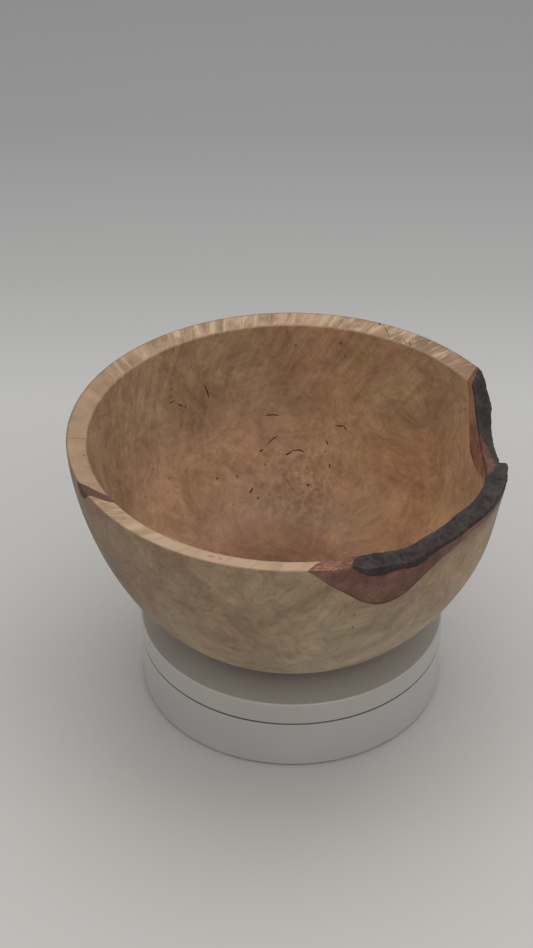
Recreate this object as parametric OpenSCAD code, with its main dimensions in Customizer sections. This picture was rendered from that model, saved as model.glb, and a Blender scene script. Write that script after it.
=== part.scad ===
// Live-edge burl bowl on a two-part rotating display stand, driven by a small battery gearmotor.
// Millimetres, +Z up. The origin is on the table, on the turning axis. The photograph looks along +Y.
// Each piece is one module. Bodies turn on the axes that the derived values below give.

/* [Stand outside] */
// Diameter of base and platter
stand_d = 146; // [144:1:170]
// Height of the platter's top above the table
stand_h = 38.2; // [38:0.1:44]
// Height of the base's top face above the table
base_top = 26; // [25.6:0.1:28]
// Open seam between the base and the platter's rim
seam_gap = 0.7; // [0.6:0.1:1.5]
// Thickness of both side walls
wall_t = 2.5; // [2:0.1:3]
// Rounding of the platter's top edge
edge_r = 0.8; // [0.4:0.1:1.2]
// How far the rubber ring lifts the base off the table
foot_lift = 0.8; // [0.8:0.1:1.6]

/* [Platter inside] */
// Thickness of the platter's top
plate_t = 3; // [2.6:0.1:3.2]
// How far the middle of the wheels' track lies in from the outer wall
track_in = 11; // [10:0.2:12]
// Width of the track rib
track_w = 7; // [6:0.5:8]
// Air between track and support wheels
track_gap = 0.3; // [0.2:0.05:0.4]

/* [Base inside] */
// Thickness of the base's deck
deck_t = 2.5; // [2.2:0.1:2.8]
// Thickness of the bottom cover
cover_t = 2.5; // [2.4:0.1:3]
// How far the circle of cover screws lies in from the rubber ring
post_in = 6.5; // [6:0.5:8]
// Diameter of a screw post
post_d = 8; // [7:0.5:9]
// How far the rubber foot ring stands in from the base's wall
foot_in = 4.5; // [4:0.5:6]
// Width of the rubber foot ring
foot_w = 4; // [3:0.5:4.5]

/* [Bearing] */
// Bore of the ball bearing
brg_bore = 8; // [8:0.5:9]
// Outer diameter of the ball bearing
brg_d = 22; // [22:1:24]
// Width of the ball bearing
brg_w = 7; // [6.5:0.5:8]
// Diameter of a bearing ball
ball_d = 3.96; // [3.6:0.02:4]
// Number of bearing balls
ball_n = 7; // [5:1:7]

/* [Drive] */
// Module of the gear teeth
gear_m = 1.5; // [1.4:0.05:1.5]
// Teeth of the ring gear under the platter
ring_teeth = 64; // [60:4:64]
// Teeth of the motor's pinion
pinion_teeth = 16; // [16:4:20]
// Height of the ring gear's teeth along the axis
ring_h = 6.6; // [5:0.1:7]
// Play cut from each gear's teeth at the pitch circle
backlash = 0.12; // [0.08:0.02:0.2]
// Diameter of the gearbox output shaft
out_shaft_d = 4; // [3:0.5:5]
// Length and width of the gearbox
gearbox_l = 32; // [30:1:34]
gearbox_w = 28; // [26:1:29]
// Height of the gearbox case
gearbox_h = 14; // [12:0.5:15]
// Diameter and length of the motor can
motor_d = 15; // [12:0.5:15]
motor_l = 21; // [18:1:24]

/* [Support wheels] */
// Diameter of a support wheel
wheel_d = 16; // [14:0.5:16]
// Width of a support wheel
wheel_w = 5; // [4:0.5:6]
// Diameter of a wheel's axle pin
axle_d = 3; // [2.5:0.5:3.5]
// Number of support wheels is fixed at three, at these angles
wheel_az = [30, 150, 270];

/* [Batteries] */
// Diameter and length of a cell
cell_d = 14.5; // [13.5:0.5:14.5]
cell_l = 50.5; // [48:0.5:52]
// Free length of a contact spring, compressed
spring_l = 4.5; // [4:0.5:6]
// Travel that frees the battery door
door_travel = 6; // [4:0.5:6]

/* [Switch] */
// Length and height of the rocker's opening
rocker_l = 11.2; // [10:0.2:12]
rocker_h = 7.8; // [7:0.2:8]
// Swing of the rocker between its two positions
rocker_swing = 20; // [16:1:22]

/* [Bowl] */
// Diameter of the bowl over its rim
bowl_d = 206.4; // [196:1:220]
// Height of the bowl
bowl_h = 102; // [92:1:112]
// Width of the rim's top face
rim_w = 9.2; // [8:0.2:11]
// How much lower the rim's inner edge lies than its outer edge
rim_drop = 2.1; // [0:0.1:4]
// Thickness of the bowl's floor
floor_t = 11; // [9:0.5:14]
// Diameter and height of the turned foot
foot_d = 80; // [70:1:82]
foot_h = 2; // [1.5:0.1:3]
// Depth of the hollow under the foot
foot_hollow = 1.2; // [0.6:0.1:1.4]

/* [Hidden] */
$fn = 96;

// Small clearances that the fits share
seat = 0.02;
run = 0.06;
eps = 0.5;

// Levels of the stand
cover_z0 = foot_lift;
cover_z1 = cover_z0 + cover_t;
deck_z0 = base_top - deck_t;
plat_z0 = base_top + seam_gap;
plate_z0 = stand_h - plate_t;
stand_r = stand_d / 2;
inner_r = stand_r - wall_t;
track_r = stand_r - track_in;
foot_r = stand_r - foot_in - foot_w;
post_r = foot_r - post_in;
deck_mid = deck_z0 + deck_t / 2;

// Bearing and spindle
brg_z1 = base_top - 0.5;
brg_z0 = brg_z1 - brg_w;
brg_mid = (brg_z0 + brg_z1) / 2;
ball_pitch = (brg_bore + brg_d) / 4;
ball_r = ball_d / 2;
race_play = 0.06;
race_lip = 1.4;
boss_r = brg_d / 2 + 3;
ledge_t = 2.5;
ledge_r = brg_d / 2 - 2.4;
cage_t = 1.1;
cage_h = ball_d + 1.1;
shoulder_r = brg_bore / 2 + 1.4;
flange_r = brg_bore / 2 + 8.5;
flange_t = 3;
pilot_r = 4;
pilot_h = 1.5;
shaft_z0 = brg_z0 + 0.2;
flange_screw_r = brg_bore / 2 + 5.2;
flange_screw_az = [0, 120, 240];
washer_r = brg_bore / 2 + 1.6;
washer_t = 1;
retain_l = 8;

// Screws: pilot hole and clearance hole radii follow the shank
m3_shank = 1.4;
m3_hole = 1.6;
m3_head_r = 2.7;
m3_head_h = 1.8;
thread_play = 0.03;

// Gear pair: the pinion meshes inside the ring at azimuth 270
pressure = 20;
ring_pitch_r = gear_m * ring_teeth / 2;
pinion_pitch_r = gear_m * pinion_teeth / 2;
gear_cd = ring_pitch_r - pinion_pitch_r;
ring_add = 0.75 * gear_m;
ring_ded = 1.2 * gear_m;
pinion_add = 0.9 * gear_m;
pinion_ded = 1.2 * gear_m;
ring_out_r = ring_pitch_r + 7.4;
ring_z0 = plate_z0 - ring_h;
ring_screw_r = ring_out_r - 3;
ring_screw_az = [15, 75, 135, 195, 255, 315];
pinion_z0 = ring_z0 + 0.3;
pinion_z1 = plate_z0 - 0.6;
out_shaft_r = out_shaft_d / 2;
bush_r = out_shaft_r + 1.6;
bush_lip = 0.8;

// Gearbox and motor hang under the deck, round the output shaft at y = -gear_cd
gearbox_z0 = deck_z0 - gearbox_h;
gear_lid_t = 2;
ear_l = 5.6;
ear_t = 2;
ear_y = (gearbox_w + ear_l) / 2;
motor_x = -gearbox_l / 2;
motor_z = gearbox_z0 + gearbox_h / 2 - 1;
motor_cap_l = 4;

// Support wheels
wheel_z = deck_z0 - 2;
wheel_r = wheel_d / 2;
track_z0 = wheel_z + wheel_r + track_gap;
slot_l = wheel_d + 2 * 0.8;
slot_w = wheel_w + 2 * 0.6;
cheek_t = 2;
cheek_w = 8;
cheek_drop = 3.5;
axle_l = slot_w + 2 * cheek_t;

// Cover screw posts stand clear of wheels, batteries and gearbox
post_az = [0, 72, 108, 180, 240, 300];

// Battery bay, two cells lying along X, in the bottom cover behind the bearing
cell_pitch = cell_d + 0.7;
bay_in_l = cell_l + spring_l + 1;
bay_in_w = cell_pitch + cell_d + 1.5;
bay_t = 1.5;
bay_y0 = boss_r + 3.2;
bay_y1 = bay_y0 + bay_in_w;
bay_mid_y = (bay_y0 + bay_y1) / 2;
door_t = 1.6;
door_clear = 0.1;
door_over = 2;
cell_z = cover_z0 + door_t + 1.1 + cell_d / 2;
bay_top = cell_z + cell_d / 2 + 0.4;
roof_t = 1.5;
contact_t = 0.5;
door_x = bay_in_l / 2 + door_over;
door_y0 = bay_y0 - door_over + 0.4;
door_y1 = bay_y1 + door_over - 0.4;
tongue = 1.2;
tongue_t = 0.8;
tongue_l = 6;
tongue_y = [door_y0 + 3.5, door_y1 - 9.5];
spring_wire = 0.8;
spring_r0 = cell_d / 4;
spring_r1 = cell_d / 6;

// Rocker switch in the rear wall
switch_z = (cover_z1 + deck_z0) / 2;
switch_flat = stand_r - 1.4;
switch_depth = 12;
bezel_t = 1.5;
bezel_lip = 1;
switch_wall = 1;
rocker_pivot_y = switch_flat - 1;
rocker_pin_r = 0.8;
blade_l = 5;

// Bowl levels and wall curves. The exponents shape the belly and keep the wall about rim_w thick.
bowl_z0 = stand_h;
bowl_z1 = bowl_z0 + bowl_h;
bowl_r = bowl_d / 2;
mouth_r = bowl_r - rim_w;
mouth_z = bowl_z1 - rim_drop;
belly_r0 = foot_d / 2 + 2;
belly_z0 = bowl_z0 + foot_h;
floor_z = bowl_z0 + floor_t;
outer_round = 1.594;
outer_full = 1.912;
inner_round = 1.265;
inner_full = 4.18;
outer_steps = 20;
inner_steps = 22;

// The broken edge, by azimuth. Each row is [azimuth, at the outer wall, at the inner wall].
// edge_dip is how far the bark's weathered top lies below the rim; above the rim it is negative.
edge_dip = [
    [-90, -7, -7], [-80, -5, -5], [-76, -2.5, -1.5], [-73.6, 1.2, 0.8], [-70.8, 3, 1.6], [-65, 3.4, 2.8],
    [-60, 4.8, 4.4], [-56, 5.6, 5.7], [-50, 5, 5.6], [-38, 5.5, 5.2], [-30, 6, 6.3], [-22, 8, 8.8],
    [-14, 12, 12], [-6, 17.5, 15.5], [0, 21, 16], [5, 26, 17], [11, 28, 17.5], [18, 25, 14],
    [23, 13, 9], [27.5, 5.5, 0], [31.5, -3, -6], [38, -12, -12]
];
// Thickness of the dark outer bark
dark_t = [
    [-90, 1, 1], [-80, 1, 1], [-76, 1, 1.4], [-73.6, 2, 2.6], [-70.8, 4, 3], [-68, 4.9, 3.4], [-66, 3.8, 3.4],
    [-63.6, 2.6, 3], [-59.5, 4, 3], [-57, 4.1, 3], [-54, 2.2, 3], [-48, 1.6, 3], [-30, 1.8, 2.8],
    [-6, 2, 2.5], [5, 3.5, 2.2], [18, 4, 1.6], [27.5, 3, 1.5], [38, 2, 1.5]
];
// Thickness of the reddish inner bark under it
red_t = [
    [-92, 1, 1], [-86, 6, 4], [-83.7, 9, 6.5], [-81, 13.2, 8], [-78.5, 15.4, 8.3], [-74, 16.8, 8.6],
    [-69.8, 17.2, 9.4], [-66.3, 19.8, 10], [-63, 19, 9.6], [-60.3, 13.7, 8.6], [-57.7, 8.4, 7.4],
    [-52, 6.4, 5.6], [-46, 4.6, 4], [-38, 2.8, 3], [-6, 3, 2.6], [5, 3.5, 6], [17, 4, 10.5],
    [22, 5, 10.5], [26, 5, 7.5], [31, 4, 5], [40, 3, 3]
];
edge_from = -92;
edge_to = 40;
edge_step = 2.5;
edge_reach = 5;

// Reddish bark pocket that crosses the rim on the left: a wedge, wide at the outer wall, from the first
// to the second azimuth there, and running out at the third on the inner edge
pocket_out_az = [-156.6, -149.8];
pocket_in_az = [-149, -143.4];
pocket_depth = 9;

// Wires: each route's points are chosen by hand, inside the base
wire_d = 1.4;
wire_sides = 8;

// A solid of revolution's outline bends smoothly: s runs from 0 at the centre or foot to 1 at the rim
function wall_point(s, r0, r1, z0, z1, round, full) = [
    r0 + (r1 - r0) * sin(90 * s),
    z0 + (z1 - z0) * (1 - pow(1 - pow(sin(90 * s), full), 1 / round))
];
function wall_curve(n, r0, r1, z0, z1, round, full) =
    [for (i = [0:n]) wall_point(i / n, r0, r1, z0, z1, round, full)];

// Involute gear outline: half of the tooth's angle at radius r
function inv(a) = tan(a) * 180 / PI - a;
function tooth_half(teeth, play, r) =
    let (pitch_r = gear_m * teeth / 2, base_r = pitch_r * cos(pressure))
    90 / teeth - play / 2 / pitch_r * 180 / PI
        + inv(pressure) - inv(acos(min(1, base_r / r)));
function tooth_flank(teeth, play, root_r, tip_r) =
    let (base_r = gear_m * teeth / 2 * cos(pressure), start = max(base_r, root_r))
    concat(
        root_r < base_r ? [[root_r, tooth_half(teeth, play, base_r)]] : [],
        [for (i = [0:3]) let (r = start + (tip_r - start) * i / 3) [r, tooth_half(teeth, play, r)]]
    );
function polar(r, a) = [r * cos(a), r * sin(a)];
function gear_outline(teeth, play, root_r, tip_r) =
    let (flank = tooth_flank(teeth, play, root_r, tip_r), n = len(flank))
    [for (k = [0:teeth - 1], j = [0:2 * n - 1])
        let (up = j < n, f = flank[up ? j : 2 * n - 1 - j])
        polar(f[0], 360 * k / teeth + (up ? -f[1] : f[1]))];

// Heights of the edge's three surfaces at an azimuth, at the outer (1) or inner (2) wall
function column(rows, k) = [for (row = rows) [row[0], row[k]]];
function eased(a, rows) = (lookup(a - 2, rows) + 2 * lookup(a, rows) + lookup(a + 2, rows)) / 4;
function ripple(a) = 0.5 * sin(9 * a) + 0.4 * sin(23 * a + 40);
function top_dip(a, k) = eased(a, column(edge_dip, k)) + ripple(a);
function dark_dip(a, k) = top_dip(a, k) + eased(a, column(dark_t, k));
function red_dip(a, k) = dark_dip(a, k) + eased(a, column(red_t, k));
function sky_dip(a, k) = -20;
function layer_dip(layer, a, k) =
    layer == 0 ? red_dip(a, k) : layer == 1 ? dark_dip(a, k) : layer == 2 ? top_dip(a, k) : sky_dip(a, k);
// Point on a layer's surface at radius r, on the line through its heights at both walls
function edge_point(layer, a, r) =
    let (out = layer_dip(layer, a, 1), in = layer_dip(layer, a, 2))
    concat(polar(r, a), bowl_z1 - in - (out - in) * (r - mouth_r) / rim_w);

// Unit vector, and the frame that a swept tube keeps along its route
function unit(v) = v / norm(v);
function tangent(p, i) =
    unit(p[min(i + 1, len(p) - 1)] - p[max(i - 1, 0)]);
function side_of(t) = abs(t[2]) < 0.9 ? unit(cross(t, [0, 0, 1])) : unit(cross(t, [0, 1, 0]));
function carried(p, i) =
    i == 0
        ? side_of(tangent(p, 0))
        : let (t = tangent(p, i), s = carried(p, i - 1)) unit(s - (s * t) * t);

// Round tube along a list of points
module tube(p, d, sides) {
    n = len(p);
    rings = [for (i = [0:n - 1])
        let (t = tangent(p, i), s = carried(p, i), u = cross(t, s))
        for (k = [0:sides - 1]) p[i] + d / 2 * (cos(360 * k / sides) * s + sin(360 * k / sides) * u)];
    skin = [for (i = [0:n - 2], k = [0:sides - 1])
        let (a = i * sides + k, b = i * sides + (k + 1) % sides)
        each [[a, a + sides, b], [b, a + sides, b + sides]]];
    cap0 = [for (k = [1:sides - 2]) [0, k, k + 1]];
    cap1 = [for (k = [1:sides - 2]) [(n - 1) * sides, (n - 1) * sides + k + 1, (n - 1) * sides + k]];
    polyhedron(rings, concat(skin, cap0, cap1));
}

// Band of the edge between two of its surfaces, reaching past both faces of the wall. Both surfaces
// are cut into triangles along the same diagonals, so that neighbouring bands meet face to face.
module edge_band(low, high) {
    n = ceil((edge_to - edge_from) / edge_step);
    az = [for (i = [0:n]) edge_from + (edge_to - edge_from) * i / n];
    reach = [mouth_r - edge_reach, mouth_r, bowl_r, bowl_r + edge_reach];
    m = 2 * len(reach);
    points = [for (a = az) each concat(
        [for (r = reach) edge_point(low, a, r)],
        [for (i = [len(reach) - 1:-1:0]) edge_point(high, a, reach[i])])];
    skin = [for (i = [0:n - 1], k = [0:m - 1])
        let (a = m * i + k, b = m * i + (k + 1) % m)
        each (k < len(reach)
            ? [[a, b, a + m], [b, b + m, a + m]]
            : [[a, b, b + m], [a, b + m, a + m]])];
    first = [for (k = [m - 1:-1:0]) k];
    last = [for (k = [0:m - 1]) m * n + k];
    polyhedron(points, concat([first], skin, [last]));
}

// Whole turned bowl before its edge broke away
module turned_bowl() {
    rotate_extrude()
        polygon(concat(
            [[0, bowl_z0 + foot_hollow], [foot_d / 2 - 9, bowl_z0 + foot_hollow],
             [foot_d / 2 - 8, bowl_z0], [foot_d / 2, bowl_z0], [foot_d / 2, belly_z0]],
            wall_curve(outer_steps, belly_r0, bowl_r, belly_z0, bowl_z1, outer_round, outer_full),
            [for (i = [inner_steps:-1:0])
                wall_point(i / inner_steps, 0, mouth_r, floor_z, mouth_z, inner_round, inner_full)]
        ));
}

module pocket_shape() {
    out_r = bowl_r + 2;
    in_r = mouth_r - 1;
    top = bowl_z1 + 1;
    polyhedron(
        [
            concat(polar(out_r, pocket_out_az[0]), top), concat(polar(out_r, pocket_out_az[1]), top),
            concat(polar(in_r, pocket_in_az[1]), top), concat(polar(in_r, pocket_in_az[0]), top),
            concat(polar(out_r, (pocket_out_az[0] + pocket_out_az[1]) / 2), bowl_z1 - pocket_depth),
            concat(polar(in_r, pocket_in_az[0] * 0.3 + pocket_in_az[1] * 0.7), mouth_z - 1)
        ],
        [[0, 3, 2, 1], [0, 1, 4], [2, 3, 5], [1, 2, 5, 4], [3, 0, 4, 5]]
    );
}

// Screw whose head lies at z0 and whose shank points up
module screw(shank_l, head_r = m3_head_r, shank_r = m3_shank) {
    difference() {
        union() {
            cylinder(h = m3_head_h, r = head_r);
            cylinder(h = m3_head_h + shank_l, r = shank_r);
        }
        for (a = [0, 90])
            rotate([0, 0, a])
                cube([head_r * 1.2, 0.7, 1.6], center = true);
    }
}

module ring(r_out, r_in, z0, z1) {
    translate([0, 0, z0])
        difference() {
            cylinder(h = z1 - z0, r = r_out);
            translate([0, 0, -eps])
                cylinder(h = z1 - z0 + 2 * eps, r = r_in);
        }
}

// Places its children at each angle, at radius r
module around(angles, r) {
    for (a = angles)
        rotate([0, 0, a])
            translate([r, 0, 0])
                children();
}

module base_wall() {
    translate([0, 0, cover_z0])
        rotate_extrude()
            polygon([
                [inner_r, 0], [stand_r - 0.5, 0], [stand_r, 0.5],
                [stand_r, base_top - cover_z0 - 0.5], [stand_r - 0.5, base_top - cover_z0],
                [inner_r, base_top - cover_z0]
            ]);
}

module wheel_bracket() {
    for (side = [-1, 1])
        translate([side * (slot_w + cheek_t) / 2, 0, (wheel_z - cheek_drop + deck_mid) / 2])
            cube([cheek_t, cheek_w, deck_mid - wheel_z + cheek_drop], center = true);
}

// Base housing: side wall, deck, bearing boss, wheel brackets and screw posts in one moulding
module base_shell() {
    color([0.90, 0.90, 0.90])
        difference() {
            union() {
                base_wall();
                translate([0, 0, deck_z0])
                    cylinder(h = deck_t, r = inner_r + 0.2);
                translate([0, 0, brg_z0 - ledge_t])
                    cylinder(h = base_top - brg_z0 + ledge_t, r = boss_r);
                around(wheel_az, track_r)
                    wheel_bracket();
                around(post_az, post_r)
                    translate([0, 0, cover_z1])
                        cylinder(h = deck_mid - cover_z1, r = post_d / 2);
            }
            translate([0, 0, brg_z0])
                cylinder(h = brg_w + 2, r = brg_d / 2 + seat);
            translate([0, 0, brg_z0 - ledge_t - eps])
                cylinder(h = ledge_t + 2 * eps, r = ledge_r);
            around(wheel_az, track_r) {
                translate([0, 0, deck_mid])
                    cube([slot_w, slot_l, deck_t + 2 * eps], center = true);
                translate([-axle_l / 2 - eps, 0, wheel_z])
                    rotate([0, 90, 0])
                        cylinder(h = axle_l + 2 * eps, r = axle_d / 2);
            }
            around(post_az, post_r)
                translate([0, 0, cover_z1 - eps])
                    cylinder(h = 12 + eps, r = m3_shank + thread_play);
            translate([0, -gear_cd, deck_z0 - eps])
                cylinder(h = deck_t + 2 * eps, r = bush_r + seat);
            for (side = [-1, 1])
                translate([0, side * ear_y - gear_cd, deck_z0 - eps])
                    cylinder(h = deck_t - 0.5 + eps, r = m3_shank + thread_play);
            switch_cutout();
        }
}

module switch_cutout() {
    w = rocker_l + 2 * switch_wall;
    h = rocker_h + 2 * switch_wall;
    translate([-w / 2 - 0.1, stand_r - 9, switch_z - h / 2 - 0.1])
        cube([w + 0.2, 12, h + 0.2]);
    translate([-w / 2 - bezel_lip - 0.6, switch_flat, switch_z - h / 2 - bezel_lip - 0.6])
        cube([w + 2 * bezel_lip + 1.2, 12, h + 2 * bezel_lip + 1.2]);
}

// Bottom cover: disc with the battery bay standing on it and a recess for the sliding door
module bottom_cover() {
    color([0.84, 0.84, 0.84])
        difference() {
            union() {
                translate([0, 0, cover_z0])
                    cylinder(h = cover_t, r = inner_r - 0.2);
                translate([-bay_in_l / 2 - bay_t, bay_y0 - bay_t, cover_z0 + 0.5])
                    cube([bay_in_l + 2 * bay_t, bay_in_w + 2 * bay_t, bay_top + roof_t - cover_z0 - 0.5]);
            }
            translate([-bay_in_l / 2, bay_y0, cover_z0 - eps])
                cube([bay_in_l, bay_in_w, bay_top - cover_z0 + eps]);
            door_recess();
            around(post_az, post_r)
                translate([0, 0, cover_z0 - eps]) {
                    cylinder(h = cover_t + 2 * eps, r = m3_hole);
                    cylinder(h = 1.2 + eps, r = m3_head_r + 0.3);
                }
            ring(foot_r + foot_w + seat, foot_r - seat, cover_z0 - eps, cover_z0 + 1.2);
            for (y = [bay_y0 + bay_in_w / 2 - cell_pitch / 2, bay_y0 + bay_in_w / 2 + cell_pitch / 2])
                translate([-bay_in_l / 2 - bay_t - eps, y - 1.8, cell_z + 1])
                    cube([bay_t + 2 * eps, 3.6, 1.4]);
        }
}

module door_recess() {
    translate([-door_x - door_clear, door_y0 - door_travel - 0.2, cover_z0 - eps])
        cube([2 * (door_x + door_clear), door_y1 - door_y0 + door_travel + 0.4, door_t + door_clear + eps]);
    for (y = tongue_y)
        for (side = [-1, 1]) {
            translate([side * door_x - tongue - door_clear, y - door_travel - 0.2,
                    cover_z0 + door_t - tongue_t - door_clear])
                cube([2 * (tongue + door_clear), tongue_l + door_travel + 0.4, tongue_t + 2 * door_clear]);
            translate([side * door_x - tongue - door_clear, y - door_travel - 0.2, cover_z0 - eps])
                cube([2 * (tongue + door_clear), tongue_l + 0.2, door_t + eps]);
        }
}

// Rubber ring that the stand rests on
module foot_ring() {
    color([0.13, 0.13, 0.14])
        ring(foot_r + foot_w, foot_r, 0, cover_z0 + 1.2);
}

module cover_screws() {
    color([0.62, 0.63, 0.65])
        around(post_az, post_r)
            translate([0, 0, cover_z0])
                cover_screw();
}

// Countersunk head, flush under the cover
module cover_screw() {
    difference() {
        union() {
            cylinder(h = 1.2, r = m3_head_r);
            cylinder(h = cover_t + 10, r = m3_shank);
        }
        for (a = [0, 90])
            rotate([0, 0, a])
                cube([3.2, 0.7, 1.2], center = true);
    }
}

// Battery door: slides toward the middle until its four tongues reach the notches
module battery_door() {
    color([0.82, 0.82, 0.82])
        difference() {
            union() {
                translate([-door_x, door_y0, cover_z0])
                    cube([2 * door_x, door_y1 - door_y0, door_t]);
                for (y = tongue_y)
                    for (side = [-1, 1])
                        translate([side * door_x - tongue, y, cover_z0 + door_t - tongue_t])
                            cube([2 * tongue, tongue_l, tongue_t]);
            }
            for (i = [-2:2])
                translate([-8, door_y1 - 8 + 2 * i, cover_z0 - eps])
                    cube([16, 0.8, eps + 0.5]);
        }
}

module race_groove() {
    translate([0, 0, brg_mid])
        rotate_extrude()
            translate([ball_pitch, 0])
                circle(r = ball_r + race_play, $fn = 48);
}

module bearing_outer_race() {
    color([0.72, 0.73, 0.75])
        difference() {
            ring(brg_d / 2, ball_pitch + race_lip, brg_z0, brg_z1);
            race_groove();
        }
}

module bearing_inner_race() {
    color([0.72, 0.73, 0.75])
        difference() {
            ring(ball_pitch - race_lip, brg_bore / 2, brg_z0, brg_z1);
            race_groove();
        }
}

module bearing_balls() {
    color([0.80, 0.81, 0.83])
        around([for (i = [0:ball_n - 1]) 360 * i / ball_n], ball_pitch)
            translate([0, 0, brg_mid])
                sphere(r = ball_r, $fn = 48);
}

module ball_cage() {
    color([0.70, 0.58, 0.32])
        difference() {
            ring(ball_pitch + cage_t / 2, ball_pitch - cage_t / 2, brg_mid - cage_h / 2, brg_mid + cage_h / 2);
            around([for (i = [0:ball_n - 1]) 360 * i / ball_n], ball_pitch)
                translate([0, 0, brg_mid])
                    sphere(r = ball_r + race_play, $fn = 48);
        }
}

module wheel_axles() {
    color([0.66, 0.67, 0.69])
        around(wheel_az, track_r)
            translate([-axle_l / 2, 0, wheel_z])
                rotate([0, 90, 0])
                    cylinder(h = axle_l, r = axle_d / 2 - seat);
}

// Support wheel: hub, thin web and a wide rim that runs on the track
module support_wheel(az) {
    hub_l = wheel_w + 0.6;
    hub_r = axle_d / 2 + 1.6;
    rim_t = 1.6;
    web_t = 1.6;
    color([0.30, 0.31, 0.33])
        around([az], track_r)
            translate([0, 0, wheel_z])
                rotate([0, 90, 0])
                    difference() {
                        union() {
                            ring(wheel_r, wheel_r - rim_t, -wheel_w / 2, wheel_w / 2);
                            translate([0, 0, -web_t / 2])
                                cylinder(h = web_t, r = wheel_r - rim_t / 2);
                            translate([0, 0, -hub_l / 2])
                                cylinder(h = hub_l, r = hub_r);
                        }
                        translate([0, 0, -hub_l])
                            cylinder(h = 2 * hub_l, r = axle_d / 2 + run - seat);
                    }
}
module support_wheel_1() support_wheel(wheel_az[0]);
module support_wheel_2() support_wheel(wheel_az[1]);
module support_wheel_3() support_wheel(wheel_az[2]);

// Gearbox under the deck, with two ears for its screws and a round seat for the motor
module gearbox_case() {
    color([0.24, 0.25, 0.27])
        translate([0, -gear_cd, 0])
            difference() {
                union() {
                    translate([-gearbox_l / 2, -gearbox_w / 2, gearbox_z0 + gear_lid_t])
                        cube([gearbox_l, gearbox_w, gearbox_h - gear_lid_t]);
                    for (side = [-1, 1])
                        translate([0, side * ear_y, deck_z0 - ear_t])
                            cylinder(h = ear_t, r = ear_l / 2);
                    translate([-ear_l / 2, -ear_y, deck_z0 - ear_t])
                        cube([ear_l, 2 * ear_y, ear_t]);
                }
                translate([0, 0, gearbox_z0])
                    cylinder(h = gearbox_h + 1, r = out_shaft_r + run);
                for (side = [-1, 1])
                    translate([0, side * ear_y, deck_z0 - ear_t - eps])
                        cylinder(h = ear_t + 2 * eps, r = m3_hole);
            }
}

module gearbox_lid() {
    color([0.32, 0.33, 0.35])
        translate([-gearbox_l / 2, -gear_cd - gearbox_w / 2, gearbox_z0])
            cube([gearbox_l, gearbox_w, gear_lid_t]);
}

module gearbox_screws() {
    color([0.62, 0.63, 0.65])
        for (side = [-1, 1])
            translate([0, side * ear_y - gear_cd, deck_z0 - ear_t - m3_head_h])
                screw(ear_t + deck_t - 0.7, m3_head_r - 0.2);
}

module output_bush() {
    color([0.72, 0.55, 0.30])
        translate([0, -gear_cd, 0]) {
            ring(bush_r, out_shaft_r + run, deck_z0, base_top);
            ring(bush_r + 1.5, out_shaft_r + run, base_top, base_top + bush_lip);
        }
}

module output_shaft() {
    color([0.75, 0.76, 0.78])
        translate([0, -gear_cd, gearbox_z0 + gear_lid_t + 0.3])
            cylinder(h = pinion_z1 - gearbox_z0 - gear_lid_t - 0.4, r = out_shaft_r);
}

module drive_pinion() {
    pitch_r = pinion_pitch_r;
    color([0.86, 0.84, 0.76])
        translate([0, -gear_cd, pinion_z0])
            difference() {
                linear_extrude(pinion_z1 - pinion_z0)
                    rotate([0, 0, -90])
                        polygon(gear_outline(pinion_teeth, backlash, pitch_r - pinion_ded, pitch_r + pinion_add));
                translate([0, 0, -eps])
                    cylinder(h = pinion_z1 - pinion_z0 + 2 * eps, r = out_shaft_r + seat);
            }
}

module motor_can() {
    color([0.72, 0.73, 0.74])
        translate([motor_x, -gear_cd, motor_z])
            rotate([0, -90, 0])
                intersection() {
                    cylinder(h = motor_l, r = motor_d / 2);
                    translate([-(motor_d - 2.5) / 2, -motor_d / 2, 0])
                        cube([motor_d - 2.5, motor_d, motor_l]);
                }
}

module motor_end_cap() {
    color([0.88, 0.88, 0.86])
        translate([motor_x - motor_l, -gear_cd, motor_z])
            rotate([0, -90, 0])
                union() {
                    cylinder(h = motor_cap_l - 1.5, r = motor_d / 2 - 1.3);
                    cylinder(h = motor_cap_l, r = motor_d / 5);
                }
}

// Y of each cell, the one toward the middle first
function cell_y(i) = bay_y0 + bay_in_w / 2 + (i - 0.5) * cell_pitch;
// The cell's plus end points to the left in the first cell and to the right in the second
function cell_dir(i) = i == 0 ? -1 : 1;
contact_x = bay_in_l / 2 - contact_t;

module battery_cells() {
    nub_l = 1.2;
    for (i = [0, 1])
        color([0.18, 0.32, 0.55])
            translate([cell_dir(i) * (contact_x - cell_l), cell_y(i), cell_z])
                rotate([0, cell_dir(i) * 90, 0])
                    union() {
                        cylinder(h = cell_l - nub_l, r = cell_d / 2);
                        cylinder(h = cell_l, r = 2.6);
                    }
}

// Bridge across both cells on the right, and two tabs with tails on the left
module contact_plates() {
    h = 11;
    color([0.74, 0.74, 0.70]) {
        translate([contact_x, cell_y(0) - 5, cell_z - h / 2])
            cube([contact_t, cell_pitch + 10, h]);
        for (i = [0, 1]) {
            translate([-contact_x - contact_t, cell_y(i) - 5, cell_z - h / 2])
                cube([contact_t, 10, h]);
            translate([-contact_x - contact_t - bay_t - 2.5, cell_y(i) - 1.5, cell_z + 1.4])
                cube([bay_t + 2.8, 3, 0.5]);
        }
    }
}

// Conical spring behind the flat end of each cell
function spring_route(l) =
    let (turns = 4, per = 8, n = turns * per)
    [for (i = [0:n])
        let (t = i / n, r = spring_r0 + (spring_r1 - spring_r0) * t, a = 360 * i / per)
        [r * cos(a), r * sin(a), 0.05 + spring_wire / 2 + (l - 0.1 - spring_wire) * t]];

module contact_springs() {
    color([0.80, 0.80, 0.78])
        for (i = [0, 1])
            translate([-cell_dir(i) * contact_x, cell_y(i), cell_z])
                rotate([0, cell_dir(i) * 90, 0])
                    tube(spring_route(2 * contact_x - cell_l), spring_wire, 6);
}

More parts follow.
